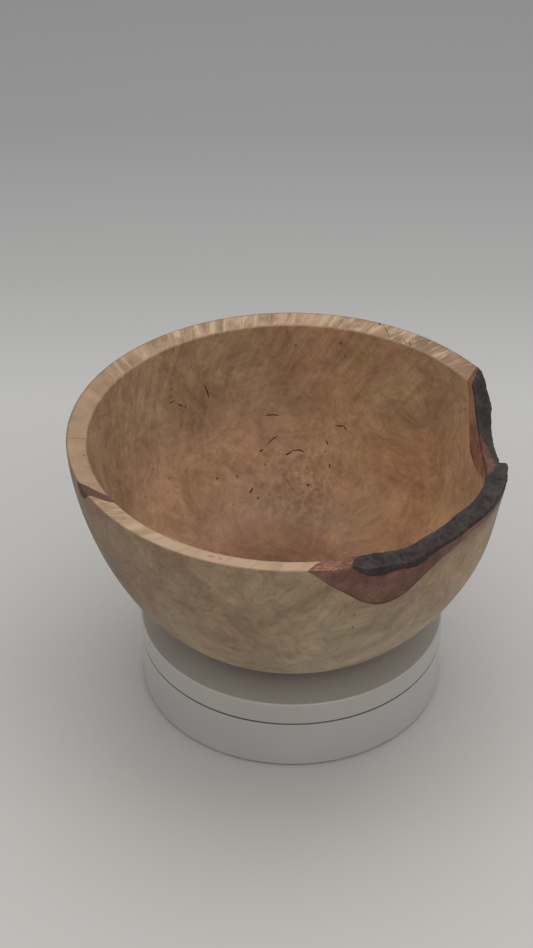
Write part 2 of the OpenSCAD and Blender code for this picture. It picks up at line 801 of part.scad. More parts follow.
module switch_body() {
    w = rocker_l + 2 * switch_wall;
    h = rocker_h + 2 * switch_wall;
    color([0.10, 0.10, 0.11])
        difference() {
            union() {
                translate([-w / 2, switch_flat - switch_depth, switch_z - h / 2])
                    cube([w, switch_depth + 0.2, h]);
                translate([-w / 2 - bezel_lip, switch_flat, switch_z - h / 2 - bezel_lip])
                    cube([w + 2 * bezel_lip, bezel_t, h + 2 * bezel_lip]);
            }
            translate([-rocker_l / 2, rocker_pivot_y - 4, switch_z - rocker_h / 2])
                cube([rocker_l, 12, rocker_h]);
            translate([0, rocker_pivot_y, switch_z - rocker_h / 2 - 0.7])
                cylinder(h = rocker_h + 1.4, r = rocker_pin_r + run);
        }
}

module switch_terminals() {
    color([0.78, 0.62, 0.30])
        for (side = [-1, 1])
            translate([side * 3.5 - 1.2, switch_flat - switch_depth - blade_l, switch_z - 0.4])
                cube([2.4, blade_l, 0.8]);
}

// Rocker at its off position: tilted by half its swing about the upright pin
module switch_rocker() {
    l = rocker_l - 1.2;
    h = rocker_h - 0.6;
    color([0.16, 0.16, 0.17])
        translate([0, rocker_pivot_y, switch_z])
            rotate([0, 0, -rocker_swing / 2])
                union() {
                    translate([0, 0, -h / 2])
                        linear_extrude(h)
                            polygon([[-l / 2, -1.2], [l / 2, -1.2], [l / 2, 3.4], [0, 2.3], [-l / 2, 3.4]]);
                    translate([0, 0, -rocker_h / 2 - 0.6])
                        cylinder(h = rocker_h + 1.2, r = rocker_pin_r);
                }
}

// Battery to switch, switch to motor, motor back to battery
module wiring() {
    tab_x = -contact_x - contact_t - bay_t - 3.3;
    tab_z = cell_z + 1.65;
    over = bay_top + roof_t + 1.2;
    blade_y = switch_flat - switch_depth - blade_l;
    cap_x = motor_x - motor_l - motor_cap_l;
    color([0.70, 0.12, 0.10])
        tube([[tab_x, cell_y(1), tab_z], [tab_x - 1, cell_y(1) + 1, tab_z + 2], [tab_x + 1, cell_y(1) + 3, over],
            [-22, bay_y1 - 1, over], [-10, bay_y1 + 1, over], [-4.5, bay_y1 + 3.5, over - 1],
            [-3.5, blade_y - 1, switch_z + 3], [-3.5, blade_y - 0.8, switch_z]], wire_d, wire_sides);
    color([0.70, 0.12, 0.10])
        tube([[3.5, blade_y - 0.8, switch_z], [3.5, blade_y - 1, switch_z + 3], [3, bay_y1 + 3.4, over - 0.9],
            [2, bay_y1 + 1.4, over], [0, bay_y1 - 3, over], [-12, bay_mid_y, over], [-20, bay_y0, over], [-21, 4, over],
            [-26, -10, over - 1], [-34, -20, over - 3], [cap_x + 0.6, 5.4 - gear_cd, motor_z + 6.2],
            [cap_x - 1.2, 4 - gear_cd, motor_z + 4], [cap_x - 0.8, 2 - gear_cd, motor_z + 1]], wire_d, wire_sides);
    color([0.10, 0.10, 0.11])
        tube([[tab_x, cell_y(0), tab_z], [tab_x - 1, cell_y(0) - 1, tab_z - 2], [tab_x - 4, 14, 9],
            [-40, 2, 7], [-45, -14, 8], [cap_x - 3, -28, 10], [cap_x - 1.5, -gear_cd - 1, motor_z - 4],
            [cap_x - 0.8, -gear_cd - 2, motor_z - 1.2]], wire_d, wire_sides);
}

// Platter: top plate, skirt, hub, and the track rib that the wheels carry
module platter_shell() {
    skirt = stand_h - plat_z0;
    color([0.93, 0.93, 0.93])
        difference() {
            union() {
                translate([0, 0, plat_z0])
                    rotate_extrude()
                        difference() {
                            union() {
                                square([stand_r - edge_r, skirt]);
                                square([stand_r, skirt - edge_r]);
                                translate([stand_r - edge_r, skirt - edge_r])
                                    circle(r = edge_r, $fn = 32);
                            }
                            translate([-1, -1])
                                square([inner_r + 1, skirt - plate_t + 1]);
                        }
                ring(track_r + track_w / 2, track_r - track_w / 2, track_z0, plate_z0 + 0.5);
            }
            translate([0, 0, plate_z0 - eps])
                cylinder(h = pilot_h + 0.2 + eps, r = pilot_r + seat);
            around(flange_screw_az, flange_screw_r)
                translate([0, 0, plate_z0 - eps])
                    cylinder(h = plate_t - 0.8 + eps, r = m3_shank + thread_play);
            around(ring_screw_az, ring_screw_r)
                translate([0, 0, plate_z0 - eps])
                    cylinder(h = plate_t - 0.8 + eps, r = m3_shank + thread_play);
        }
}

module ring_gear() {
    color([0.86, 0.84, 0.76])
        translate([0, 0, ring_z0])
            difference() {
                linear_extrude(ring_h)
                    difference() {
                        circle(r = ring_out_r);
                        rotate([0, 0, -90])
                            polygon(gear_outline(ring_teeth, -backlash,
                                ring_pitch_r - ring_add, ring_pitch_r + ring_ded));
                    }
                around(ring_screw_az, ring_screw_r)
                    translate([0, 0, -eps]) {
                        cylinder(h = ring_h + 2 * eps, r = m3_shank + 0.1);
                        cylinder(h = m3_head_h + eps, r = m3_head_r - 0.5 + 0.1);
                    }
            }
}

module ring_gear_screws() {
    color([0.62, 0.63, 0.65])
        around(ring_screw_az, ring_screw_r)
            translate([0, 0, ring_z0])
                screw(ring_h - m3_head_h + plate_t - 1, m3_head_r - 0.5);
}

// Spindle: screwed under the platter, its shoulder sits on the inner race
module spindle() {
    color([0.70, 0.71, 0.73])
        difference() {
            union() {
                rotate_extrude()
                    polygon([
                        [0, shaft_z0], [brg_bore / 2 - seat, shaft_z0], [brg_bore / 2 - seat, brg_z1],
                        [shoulder_r, brg_z1], [shoulder_r, plate_z0 - flange_t],
                        [flange_r, plate_z0 - flange_t], [flange_r, plate_z0],
                        [pilot_r, plate_z0], [pilot_r, plate_z0 + pilot_h], [0, plate_z0 + pilot_h]
                    ]);
            }
            around(flange_screw_az, flange_screw_r)
                translate([0, 0, plate_z0 - flange_t - eps])
                    cylinder(h = flange_t + 2 * eps, r = m3_hole);
            translate([0, 0, shaft_z0 - eps])
                cylinder(h = retain_l + 2 + eps, r = m3_shank + thread_play);
        }
}

module spindle_screws() {
    color([0.62, 0.63, 0.65])
        around(flange_screw_az, flange_screw_r)
            translate([0, 0, plate_z0 - flange_t - m3_head_h])
                screw(flange_t + plate_t - 1);
}

module spindle_washer() {
    color([0.75, 0.76, 0.78])
        ring(washer_r, m3_hole, brg_z0 - washer_t, brg_z0);
}

module retaining_screw() {
    color([0.62, 0.63, 0.65])
        translate([0, 0, brg_z0 - washer_t - m3_head_h])
            screw(washer_t + retain_l);
}

module bowl_wood() {
    color([0.70, 0.56, 0.42])
        difference() {
            turned_bowl();
            edge_band(0, 3);
            pocket_shape();
        }
}

module inner_bark() {
    color([0.50, 0.28, 0.21])
        intersection() {
            turned_bowl();
            edge_band(0, 1);
        }
}

module outer_bark() {
    color([0.16, 0.15, 0.16])
        intersection() {
            turned_bowl();
            edge_band(1, 2);
        }
}

module bark_pocket() {
    color([0.55, 0.33, 0.25])
        intersection() {
            turned_bowl();
            pocket_shape();
        }
}

base_shell();
bottom_cover();
foot_ring();
cover_screws();
battery_door();
bearing_outer_race();
bearing_balls();
ball_cage();
bearing_inner_race();
wheel_axles();
support_wheel_1();
support_wheel_2();
support_wheel_3();
gearbox_case();
gearbox_lid();
gearbox_screws();
output_bush();
output_shaft();
drive_pinion();
motor_can();
motor_end_cap();
battery_cells();
contact_plates();
contact_springs();
switch_body();
switch_terminals();
switch_rocker();
wiring();
platter_shell();
ring_gear();
ring_gear_screws();
spindle();
spindle_screws();
spindle_washer();
retaining_screw();
bowl_wood();
inner_bark();
outer_bark();
bark_pocket();
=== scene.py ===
"""Live-edge burl bowl on a rotating display stand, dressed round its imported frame.

The bowl's wood and bark are surfaces worked out here; the stand's own solids keep their shape and get
their finishes. Shapes are worked out in millimetres and turned into metres where they enter a mesh.
"""

import bmesh
import bpy
import numpy as np
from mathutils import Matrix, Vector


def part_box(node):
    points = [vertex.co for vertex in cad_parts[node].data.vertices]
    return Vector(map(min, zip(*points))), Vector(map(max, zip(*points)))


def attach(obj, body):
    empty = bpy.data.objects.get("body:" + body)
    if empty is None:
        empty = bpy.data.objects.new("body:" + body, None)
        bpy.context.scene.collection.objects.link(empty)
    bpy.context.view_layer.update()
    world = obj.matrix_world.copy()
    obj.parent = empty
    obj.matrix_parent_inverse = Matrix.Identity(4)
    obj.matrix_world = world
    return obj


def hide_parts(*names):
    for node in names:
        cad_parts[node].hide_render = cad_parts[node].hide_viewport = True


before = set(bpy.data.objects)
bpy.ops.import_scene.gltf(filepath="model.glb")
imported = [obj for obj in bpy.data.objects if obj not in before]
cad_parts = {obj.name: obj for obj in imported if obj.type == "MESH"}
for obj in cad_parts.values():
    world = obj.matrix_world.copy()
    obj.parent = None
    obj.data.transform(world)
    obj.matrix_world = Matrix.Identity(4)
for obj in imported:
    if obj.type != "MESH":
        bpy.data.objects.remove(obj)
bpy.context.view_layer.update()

# Camera
# It looks down into the bowl from about a metre away. A lens of 76 mm on a 36 mm long side gives the
# photograph's perspective, and the view axis passes about a centimetre left of the turning axis.
# How far it looks down, in degrees, and how far it is turned to the left, in radians.
LOOKING_DOWN, TURNED_LEFT = 35.85, 0.0204
camera = bpy.data.objects.new("camera", bpy.data.cameras.new("camera"))
camera.data.sensor_width = 36.0
camera.data.lens = 75.95
camera.location = (0.0032, -0.7503, 0.6575)
camera.rotation_euler = (np.radians(90.0 - LOOKING_DOWN), 0.0, TURNED_LEFT)
bpy.context.scene.collection.objects.link(camera)
bpy.context.scene.camera = camera
bpy.context.scene.view_settings.view_transform = "Standard"

# Backdrop
# A flat floor of white paper under dim, even studio light. Its colour is lightest in front, a little darker
# about the object with painted soft shadow, holds just behind it, and falls off towards the top of the
# picture with painted shade, as a sweep does where it curves up out of the light.
FLOOR_HALF = 4.0
TONES_FROM, TONES_TO = -0.6, 1.2
PAPER_SHADE_TONES = [
    (0.0, (0.50, 0.485, 0.465)), (0.27, (0.50, 0.485, 0.465)), (0.33, (0.445, 0.435, 0.42)),
    (0.46, (0.455, 0.45, 0.44)), (0.54, (0.34, 0.338, 0.334)), (0.66, (0.258, 0.258, 0.258)),
    (0.80, (0.243, 0.243, 0.243))]


def add(tree, kind, inputs=None, **settings):
    """A shader node. Each input is a plain value or another node's output socket."""
    node = tree.nodes.new(kind)
    for name, value in settings.items():
        setattr(node, name, value)
    for key, value in (inputs or {}).items():
        if isinstance(value, bpy.types.NodeSocket):
            tree.links.new(value, node.inputs[key])
        else:
            node.inputs[key].default_value = value
    return node


def new_material(name):
    """A fresh material: its node tree, its shader, and its Object coordinates."""
    material = bpy.data.materials.new(name)
    material.use_nodes = True
    tree = material.node_tree
    shader = tree.nodes["Principled BSDF"]
    place = add(tree, "ShaderNodeTexCoord").outputs["Object"]
    return material, tree, shader, place


def colour(rgb):
    """Linear red, green and blue with a full alpha."""
    return (rgb[0], rgb[1], rgb[2], 1.0)


def ramp(tree, value, stops):
    """A colour ramp through the given (place, grey or colour) stops."""
    node = add(tree, "ShaderNodeValToRGB", {"Fac": value})
    elements = node.color_ramp.elements
    while len(elements) < len(stops):
        elements.new(1.0)
    for element, (place, shade) in zip(elements, stops):
        element.position = place
        element.color = colour((shade,) * 3 if np.isscalar(shade) else shade)
    return node.outputs["Color"]


def part(tree, vector, axis):
    """One of a vector's three numbers, by the name of its axis."""
    return add(tree, "ShaderNodeSeparateXYZ", {"Vector": vector}).outputs[axis]


def share_of_way(tree, value, start, end):
    """How far a value has come from start to end, held between 0 and 1."""
    node = add(tree, "ShaderNodeMapRange", {"Value": value, "From Min": start, "From Max": end})
    return node.outputs["Result"]


floor_mesh = bpy.data.meshes.new("floor")
floor_mesh.from_pydata(
    [(-FLOOR_HALF, -FLOOR_HALF, 0), (FLOOR_HALF, -FLOOR_HALF, 0), (FLOOR_HALF, FLOOR_HALF, 0),
     (-FLOOR_HALF, FLOOR_HALF, 0)], [], [(0, 1, 2, 3)])
floor = bpy.data.objects.new("floor", floor_mesh)
bpy.context.scene.collection.objects.link(floor)
paper, tree, shader, place = new_material("paper_sweep")
along = share_of_way(tree, part(tree, place, "Y"), TONES_FROM, TONES_TO)
# Painted shade: the paper's colour darkens about the object and towards the back.
tree.links.new(ramp(tree, along, PAPER_SHADE_TONES), shader.inputs["Base Color"])
shader.inputs["Roughness"].default_value = 0.9
floor_mesh.materials.append(paper)

# Light
# Soft light from above and a little behind, and from in front, in an even surround as in a light tent.
# The camera sees the surround as grey, where the sweep ends.
SURROUND_LIGHT, SURROUND_SEEN = 0.70, (0.205, 0.205, 0.205)
LAMPS_AIM = (0.0, 0.0, 0.08)
world = bpy.data.worlds.new("surround")
world.use_nodes = True
tree = world.node_tree
lit = tree.nodes["Background"]
lit.inputs["Color"].default_value = colour((1.0, 1.0, 1.0))
lit.inputs["Strength"].default_value = SURROUND_LIGHT
seen = add(tree, "ShaderNodeBackground", {"Color": colour(SURROUND_SEEN), "Strength": 1.0})
joined = add(tree, "ShaderNodeMixShader", {
    0: add(tree, "ShaderNodeLightPath").outputs["Is Camera Ray"], 1: lit.outputs[0], 2: seen.outputs[0]})
tree.links.new(joined.outputs[0], tree.nodes["World Output"].inputs["Surface"])
bpy.context.scene.world = world


def soft_lamp(name, place_at, size, power):
    """A square area lamp at a place, turned to face the object: tilted by the angle between the way to it
    and straight up, and swung round to its side."""
    lamp = bpy.data.objects.new(name, bpy.data.lights.new(name, "AREA"))
    lamp.data.size = size
    lamp.data.energy = power
    lamp.location = place_at
    away = np.array(place_at) - np.array(LAMPS_AIM)
    flat = np.hypot(away[0], away[1])
    lamp.rotation_euler = (np.arctan2(flat, away[2]), 0.0, np.arctan2(away[0], -away[1]))
    bpy.context.scene.collection.objects.link(lamp)


soft_lamp("overhead_panel", (0.10, 0.35, 1.30), 1.2, 8.2)
soft_lamp("front_fill", (0.3, -1.4, 1.0), 1.6, 4.3)

# Turned bowl
# One piece of burl, turned inside and out on a lathe to about a centimetre of wall, with a small foot,
# sanded and oiled to a thin satin. Its rim's face falls gently inwards, and dips under the bark where
# the log's own outside was left on. The CAD solid gives the levels and the radius.
MM = 0.001
wood_low, wood_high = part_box("bowl_wood")
FOOT_Z = wood_low.z / MM
RIM_Z = wood_high.z / MM
RIM_R = -wood_low.x / MM
RIM_W = 9.2
RIM_DROP = 2.1
MOUTH_R = RIM_R - RIM_W
MOUTH_Z = RIM_Z - RIM_DROP
FLOOR_T = 11.0
FLOOR_Z = FOOT_Z + FLOOR_T
FOOT_R = 40.0
FOOT_H = 2.0
FOOT_STEP = 2.0
BELLY_R = FOOT_R + FOOT_STEP
BELLY_Z = FOOT_Z + FOOT_H
OUTER_ROUND, OUTER_FULL = 1.594, 1.912
INNER_ROUND, INNER_FULL = 1.265, 4.18
# The foot's profile: radius, and height above the platter. It is hollowed a little, to stand on its ring.
FOOT_PROFILE = np.array([
    (0.0, 1.2), (30.0, 1.2), (31.4, 1.1), (32.0, 0.0), (33.0, 0.0), (FOOT_R - 1.0, 0.0), (FOOT_R, 0.3),
    (FOOT_R + 0.2, FOOT_H - 0.5)])


def outer_radius(z):
    """Radius of the outer wall at height z: the foot's radius plus a share of the rest that rises fast
    and then slowly, share = (1 - (1 - t)^round)^(1 / full), with t the height as a share."""
    t = np.clip((z - BELLY_Z) / (RIM_Z - BELLY_Z), 0.0, 1.0)
    return BELLY_R + (RIM_R - BELLY_R) * (1 - (1 - t) ** OUTER_ROUND) ** (1 / OUTER_FULL)


def inner_radius(z):
    """Radius of the inner wall at height z, by the same rule from the floor's centre to the mouth."""
    t = np.clip((z - FLOOR_Z) / (MOUTH_Z - FLOOR_Z), 0.0, 1.0)
    return MOUTH_R * (1 - (1 - t) ** INNER_ROUND) ** (1 / INNER_FULL)


def rise(n, round_, full):
    """n height shares from 0 to 1, closest where the wall bends most: 1 - (1 - sin^full)^(1 / round)."""
    s = np.sin(np.linspace(0.0, np.pi / 2, n))
    return 1 - (1 - s ** full) ** (1 / round_)


# The broken edge by azimuth, at the outer and inner wall, within a few millimetres of the frame's solids.
# Rows are azimuth, outer, inner: how far the bark's top lies below the rim, and each layer's thickness.
EDGE_DIP = np.array([
    (-90, -7, -7), (-80, -5, -5), (-76, -2.5, -2.2), (-73.6, 1.2, -0.4), (-70.8, 3, 1.4), (-65, 3.4, 2.8),
    (-60, 4.8, 4.4), (-56, 5.6, 5.7), (-50, 5, 5.6), (-38, 5.5, 5.2), (-30, 6, 6.3), (-22, 8, 8.8),
    (-14, 12, 12), (-6, 14.2, 15.5), (-1, 15.2, 16), (4.5, 23.8, 17), (11, 25, 17.5), (18, 24, 14),
    (23, 13, 9), (27.5, 5.5, 0), (31.5, -3, -6), (38, -12, -12)], float)
DARK_T = np.array([
    (-90, 1, 1), (-80, 1, 1), (-76, 1, 0.8), (-73.6, 2, 1.2), (-70.8, 4, 2.4), (-68, 4.9, 3.4),
    (-66, 3.8, 3.4), (-63.6, 2.6, 3), (-59.5, 4, 3), (-57, 4.1, 3), (-54, 2.2, 3), (-48, 1.6, 3),
    (-30, 1.8, 2.8), (-14, 2.3, 2.6), (-6, 5.5, 2.5), (0, 8.5, 2.3), (5, 6.8, 2.2), (11, 6.8, 2),
    (18, 5, 1.6), (27.5, 3, 1.5), (38, 2, 1.5)], float)
RED_T = np.array([
    (-92, 1, 1), (-86, 6, 4), (-83.7, 9, 6.5), (-81, 13.2, 8), (-78.5, 15.4, 8.3), (-74, 16.8, 8.6),
    (-69.8, 17.2, 9.4), (-66.3, 19.8, 10), (-63, 19, 9.6), (-60.3, 15, 8.6), (-57.7, 11, 7.4),
    (-52, 8, 5.6), (-46, 5.4, 4), (-38, 3.2, 3), (-6, 3, 2.6), (5, 3.5, 8), (17, 4, 12.5),
    (22, 5, 11.5), (26, 3.6, 7), (31, 1.6, 2), (40, 1, 1)], float)
EDGE_FROM, EDGE_TO = -92.0, 40.0


def eased(azimuth, rows, column):
    """A row table read at an azimuth, averaged over two degrees each way so that its corners round off."""
    read = [np.interp(azimuth + d, rows[:, 0], rows[:, column]) for d in (-2.0, 0.0, 2.0)]
    return (read[0] + 2 * read[1] + read[2]) / 4


def ripple(azimuth):
    """Slow waves along the broken edge."""
    return 0.5 * np.sin(np.radians(9 * azimuth)) + 0.4 * np.sin(np.radians(23 * azimuth + 40))


def edge_height(layer, azimuth, across):
    """Height of a layer's surface. Layer 0 is wood to red bark, 1 red to dark bark, 2 the weathered top.
    across is 0 at the inner wall and 1 at the outer wall; the surface is straight between the two."""
    sides = []
    for column in (2, 1):
        dip = eased(azimuth, EDGE_DIP, column) + ripple(azimuth)
        if layer < 2:
            dip = dip + eased(azimuth, DARK_T, column)
        if layer < 1:
            dip = dip + eased(azimuth, RED_T, column)
        sides.append(dip)
    return RIM_Z - (sides[0] + (sides[1] - sides[0]) * across)


def rim_face(across):
    """Height of the unbroken rim's face from its inner to its outer edge."""
    return MOUTH_Z + RIM_DROP * across


def smooth_step(value, low, high):
    """0 below low, 1 above high, and an even curve between: 3t^2 - 2t^3."""
    t = np.clip((value - low) / (high - low), 0.0, 1.0)
    return t * t * (3 - 2 * t)


# The wall under the bark is drawn in by PULLED_IN at most: the pull starts and ends over these azimuths,
# and grows over these heights and radii.
PULLED_IN = 3.2
PULL_STARTS, PULL_ENDS = (-66.0, -38.0), (2.0, 26.0)
PULL_HEIGHTS, PULL_RADII = (85.0, 122.0), (70.0, 88.0)


def dried(points):
    """The wall under the bark has drawn in a little as the wood dried: points near the broken edge move
    towards the turning axis, most at the top and in the middle of the edge."""
    radius = np.maximum(np.hypot(points[..., 0], points[..., 1]), 1.0)
    azimuth = np.degrees(np.arctan2(points[..., 1], points[..., 0]))
    amount = (smooth_step(azimuth, *PULL_STARTS) * (1 - smooth_step(azimuth, *PULL_ENDS))
              * smooth_step(points[..., 2], *PULL_HEIGHTS) * smooth_step(radius, *PULL_RADII))
    return points * np.stack([1 - PULLED_IN * amount / radius] * 2 + [np.ones_like(radius)], axis=-1)


def surface(name, points, round_u=False, round_v=False, caps=False, marks=None, uv=None):
    """A mesh object from a grid of points in millimetres, with quads between neighbours, joined round
    where asked, doubles merged, faces outwards, and named values stored on its points."""
    nu, nv = points.shape[:2]
    index = np.arange(nu * nv).reshape(nu, nv)
    rows = np.concatenate([index, index[:1]]) if round_u else index
    rows = np.concatenate([rows, rows[:, :1]], axis=1) if round_v else rows
    quads = np.stack([rows[:-1, :-1], rows[1:, :-1], rows[1:, 1:], rows[:-1, 1:]], axis=-1).reshape(-1, 4)
    faces = quads.tolist()
    if caps:
        faces += [index[0].tolist(), index[-1][::-1].tolist()]
    mesh = bpy.data.meshes.new(name)
    mesh.from_pydata((points.reshape(-1, 3) * MM).tolist(), [], faces)
    for label, values in (marks or {}).items():
        stored = mesh.attributes.new(label, "FLOAT", "POINT")
        stored.data.foreach_set("value", values.astype(np.float32).ravel())
    if uv is not None:
        wide = np.concatenate([uv, uv[:1] + [uv[1, 0, 0] * nu, 0.0]]) if round_u else uv
        corner = np.stack([wide[:-1, :-1], wide[1:, :-1], wide[1:, 1:], wide[:-1, 1:]], axis=2)
        mesh.uv_layers.new(name="UVMap").data.foreach_set("uv", corner.astype(np.float32).ravel())
    return finish_mesh(name, mesh)


def finish_mesh(name, mesh):
    """Merges doubled points, turns the faces outwards, shades them smooth and links the object."""
    work = bmesh.new()
    work.from_mesh(mesh)
    bmesh.ops.remove_doubles(work, verts=work.verts, dist=2e-6)
    bmesh.ops.recalc_face_normals(work, faces=work.faces)
    if work.calc_volume(signed=True) < 0:
        bmesh.ops.reverse_faces(work, faces=work.faces)
    work.to_mesh(mesh)
    work.free()
    mesh.shade_smooth()
    thing = bpy.data.objects.new(name, mesh)
    bpy.context.scene.collection.objects.link(thing)
    return thing


COLUMNS = 720
OUTER_ROWS, TOP_ROWS, INNER_ROWS = 46, 11, 58
CORNER, CORNER_CLOSED, CORNER_CLOSES = 0.35, 0.94, (0.02, 0.4)
EDGE_ROW = 0.5
azimuths = np.arange(COLUMNS) * 360.0 / COLUMNS - 180.0


def wood_top(azimuth, across):
    """Top of the wood: the rim's face, or the bark's underside where that is lower."""
    inside_edge = (azimuth > EDGE_FROM) & (azimuth < EDGE_TO)
    low = edge_height(0, azimuth, across)
    return np.where(inside_edge, np.minimum(rim_face(across), low), rim_face(across))


def corner_under(azimuth, across):
    """Rounding of the wood's corner: full on the open rim, closed where the bark joins the wood."""
    depth = rim_face(across) - wood_top(azimuth, across)
    return CORNER * (1 - CORNER_CLOSED * smooth_step(depth, *CORNER_CLOSES))


# How light the wood is: inside by radius, and outside by height and by azimuth. The darkening by azimuth
# on the outside's left side is painted shade, where that side faces a darker surround.
IN_TONE = ([0, 28, 45, 58, 66, 75, 83, 92], [0.60, 0.66, 0.92, 1.04, 1.26, 1.36, 1.16, 1.08])
OUT_TONE = ([38, 60, 85, 110, 140], [1.36, 1.30, 1.10, 0.98, 0.95])
OUT_SHADE_ROUND = ([-180, -150, -125, -100, 120, 150, 180], [0.72, 0.76, 0.91, 1, 1, 0.86, 0.72])
# The rim by azimuth: how pale it is, and how strongly the cut figure streaks it, 0 to 1. It is plain and
# palest in front, quiet brown on the left, and streaked all along the back. Over its inner edge its colour
# blends into the inner wall's.
RIM_LOOK = np.array([
    (-180, 0.60, 0.12), (-162, 0.56, 0.08), (-150, 0.58, 0.30), (-143, 0.72, 0.80), (-128, 0.88, 0.80),
    (-120, 0.96, 0.30), (-108, 0.98, 0.10), (-95, 0.95, 0.25), (35, 0.28, 0.60), (45, 0.36, 0.85),
    (62, 0.50, 1.00), (80, 0.60, 0.75), (100, 0.68, 0.95), (125, 0.62, 0.90), (145, 0.50, 0.55),
    (160, 0.48, 0.20), (180, 0.60, 0.12)], float)
RIM_SOFT = [0.80, 0.40]
# The wood beside the bark is warmer. That fades over this much azimuth and depth, goes on along the rim
# past the bark's far end, and sets in on the outer wall between the last two azimuths.
BARK_FADE, BARK_DEPTHS = 8, (0.5, 7.0)
RIM_BESIDE_FROM, RIM_BESIDE_ENDS = 30, (38.5, 43.5)
BROWN_STARTS = (-58.0, -36.0)


def bowl_columns():
    """Every column of the bowl from the foot's centre, out, up the outer wall, over the rim and down the
    inner wall to the floor's centre. Gives the points, what bowl_marks needs, and the way along them."""
    az = azimuths[:, None]
    foot_r = np.broadcast_to(FOOT_PROFILE[:, 0], (COLUMNS, len(FOOT_PROFILE)))
    foot_z = np.broadcast_to(FOOT_Z + FOOT_PROFILE[:, 1], foot_r.shape)
    corner_out = corner_under(az, 1.0)
    corner_in = corner_under(az, 0.0)
    outer_top = wood_top(az, 1.0) - corner_out
    outer_z = BELLY_Z + (outer_top - BELLY_Z) * rise(OUTER_ROWS, OUTER_ROUND, OUTER_FULL)
    outer_z = np.concatenate([outer_z[:, :-1], outer_top - EDGE_ROW, outer_top], axis=1)
    inner = np.linspace(1 - 3 * CORNER / RIM_W, 3 * CORNER / RIM_W, TOP_ROWS) + 0 * az
    across = np.concatenate([1 - corner_out / RIM_W, inner, corner_in / RIM_W], axis=1)
    top_z = wood_top(az, across)
    inner_top = wood_top(az, 0.0) - corner_in
    inner_z = FLOOR_Z + (inner_top - FLOOR_Z) * rise(INNER_ROWS, INNER_ROUND, INNER_FULL)[::-1]
    inner_z = np.concatenate([inner_top, inner_top - EDGE_ROW, inner_z[:, 1:]], axis=1)
    wall_out = outer_radius(top_z[:, :1])
    wall_in = inner_radius(top_z[:, -1:])
    top_r = wall_in + (wall_out - wall_in) * across
    radius = np.concatenate([foot_r, outer_radius(outer_z), top_r, inner_radius(inner_z)], axis=1)
    height = np.concatenate([foot_z, outer_z, top_z, inner_z], axis=1)
    rim_from = foot_r.shape[1] + outer_z.shape[1]
    angle = np.radians(az)
    points = np.stack([radius * np.cos(angle), radius * np.sin(angle), height], axis=-1)
    step = np.linalg.norm(np.diff(points, axis=1), axis=-1)
    run = np.concatenate([np.zeros((COLUMNS, 1)), np.cumsum(step, axis=1)], axis=1)
    round_way = np.broadcast_to(np.arange(COLUMNS)[:, None] * 2 * np.pi * RIM_R / COLUMNS, run.shape)
    marks = bowl_marks(az, radius, height, rim_from, rim_from + top_z.shape[1])
    return points, marks, np.stack([round_way, run], axis=-1) * MM


def bowl_marks(az, radius, height, rim_from, rim_to):
    """What the burl's colour reads at each point: on the rim, inside, close to the bark, how light, with
    painted shade on the outside's left and along the rim's outer corner, how pale and how streaked. The rim's
    rows run from rim_from to rim_to, and the rows after them lie inside."""
    is_rim = np.zeros(radius.shape)
    is_rim[:, rim_from:rim_to] = 1.0
    is_rim[:, rim_to - 2:rim_to] = RIM_SOFT
    is_inside = np.zeros(radius.shape)
    is_inside[:, rim_to:] = 1.0
    # The outer wall's last row and the rim's first carry painted shade: a dark line for the shadow under the
    # rim's outer edge.
    corner_shade = np.zeros(radius.shape)
    corner_shade[:, rim_from - 1:rim_from + 1] = 1.0
    below_bark = (smooth_step(az, EDGE_FROM, EDGE_FROM + BARK_FADE)
                  * (1 - smooth_step(az, EDGE_TO - BARK_FADE, EDGE_TO))
                  * (1 - smooth_step(wood_top(az, 0.5) - height, *BARK_DEPTHS)))
    beside = is_rim * (az > RIM_BESIDE_FROM) * (1 - smooth_step(az, *RIM_BESIDE_ENDS))
    on_outside = 1 - np.maximum(is_rim, is_inside)
    # Outside, the factor by azimuth is painted shade on the left side.
    out_tone_and_shade = np.interp(height, *OUT_TONE) * np.interp(az, *OUT_SHADE_ROUND)
    in_tone = np.interp(radius, *IN_TONE)
    return {
        "on_rim": is_rim, "on_inside": is_inside,
        "near_bark": np.maximum(below_bark * is_inside, beside),
        "under_bark": below_bark * on_outside * smooth_step(az, *BROWN_STARTS),
        "tone": np.where(is_inside > 0, in_tone, np.where(is_rim > 0, 1.0, out_tone_and_shade)),
        "rim_pale": np.interp(az, RIM_LOOK[:, 0], RIM_LOOK[:, 1]) + 0 * radius,
        "rim_streak": np.interp(az, RIM_LOOK[:, 0], RIM_LOOK[:, 2]) + 0 * radius,
        "rim_corner_shade": corner_shade}


wood_points, wood_marks, wood_uv = bowl_columns()
bowl = surface("turned_bowl", dried(wood_points), round_u=True, uv=wood_uv, marks=wood_marks)

WOOD_DARK = (0.215, 0.145, 0.095)
WOOD_MID = (0.285, 0.198, 0.135)
WOOD_PALE = (0.350, 0.255, 0.180)
# Painted light: one wood, warmed orange inside as by light bounced between its walls, and greyed outside as
# under the grey surround.
OUTSIDE_SURROUND_TINT = (0.92, 0.93, 0.86)
INSIDE_BOUNCE_TINT = (0.98, 0.82, 0.64)
# Two figures on the floor, by where their middles lie on the plan: the darker heart and a patch of eyes.
HEART_AT, HEART_TINT = (-0.009, 0.017, 0.0), (0.92, 0.83, 0.80)
EYES_AT = (0.004, 0.058, 0.0)


def mix(tree, amount, low, high, blend="MIX"):
    """Two colours mixed by an amount; a colour may be a plain triple or a socket."""
    pick = [v if isinstance(v, bpy.types.NodeSocket) else colour(v) for v in (low, high)]
    node = add(tree, "ShaderNodeMix", {0: amount, 6: pick[0], 7: pick[1]}, data_type="RGBA", blend_type=blend)
    return node.outputs[2]


def tinted(tree, body, tint):
    """A colour multiplied by another; either may be a plain triple or a socket."""
    return mix(tree, 1.0, body, tint, "MULTIPLY")


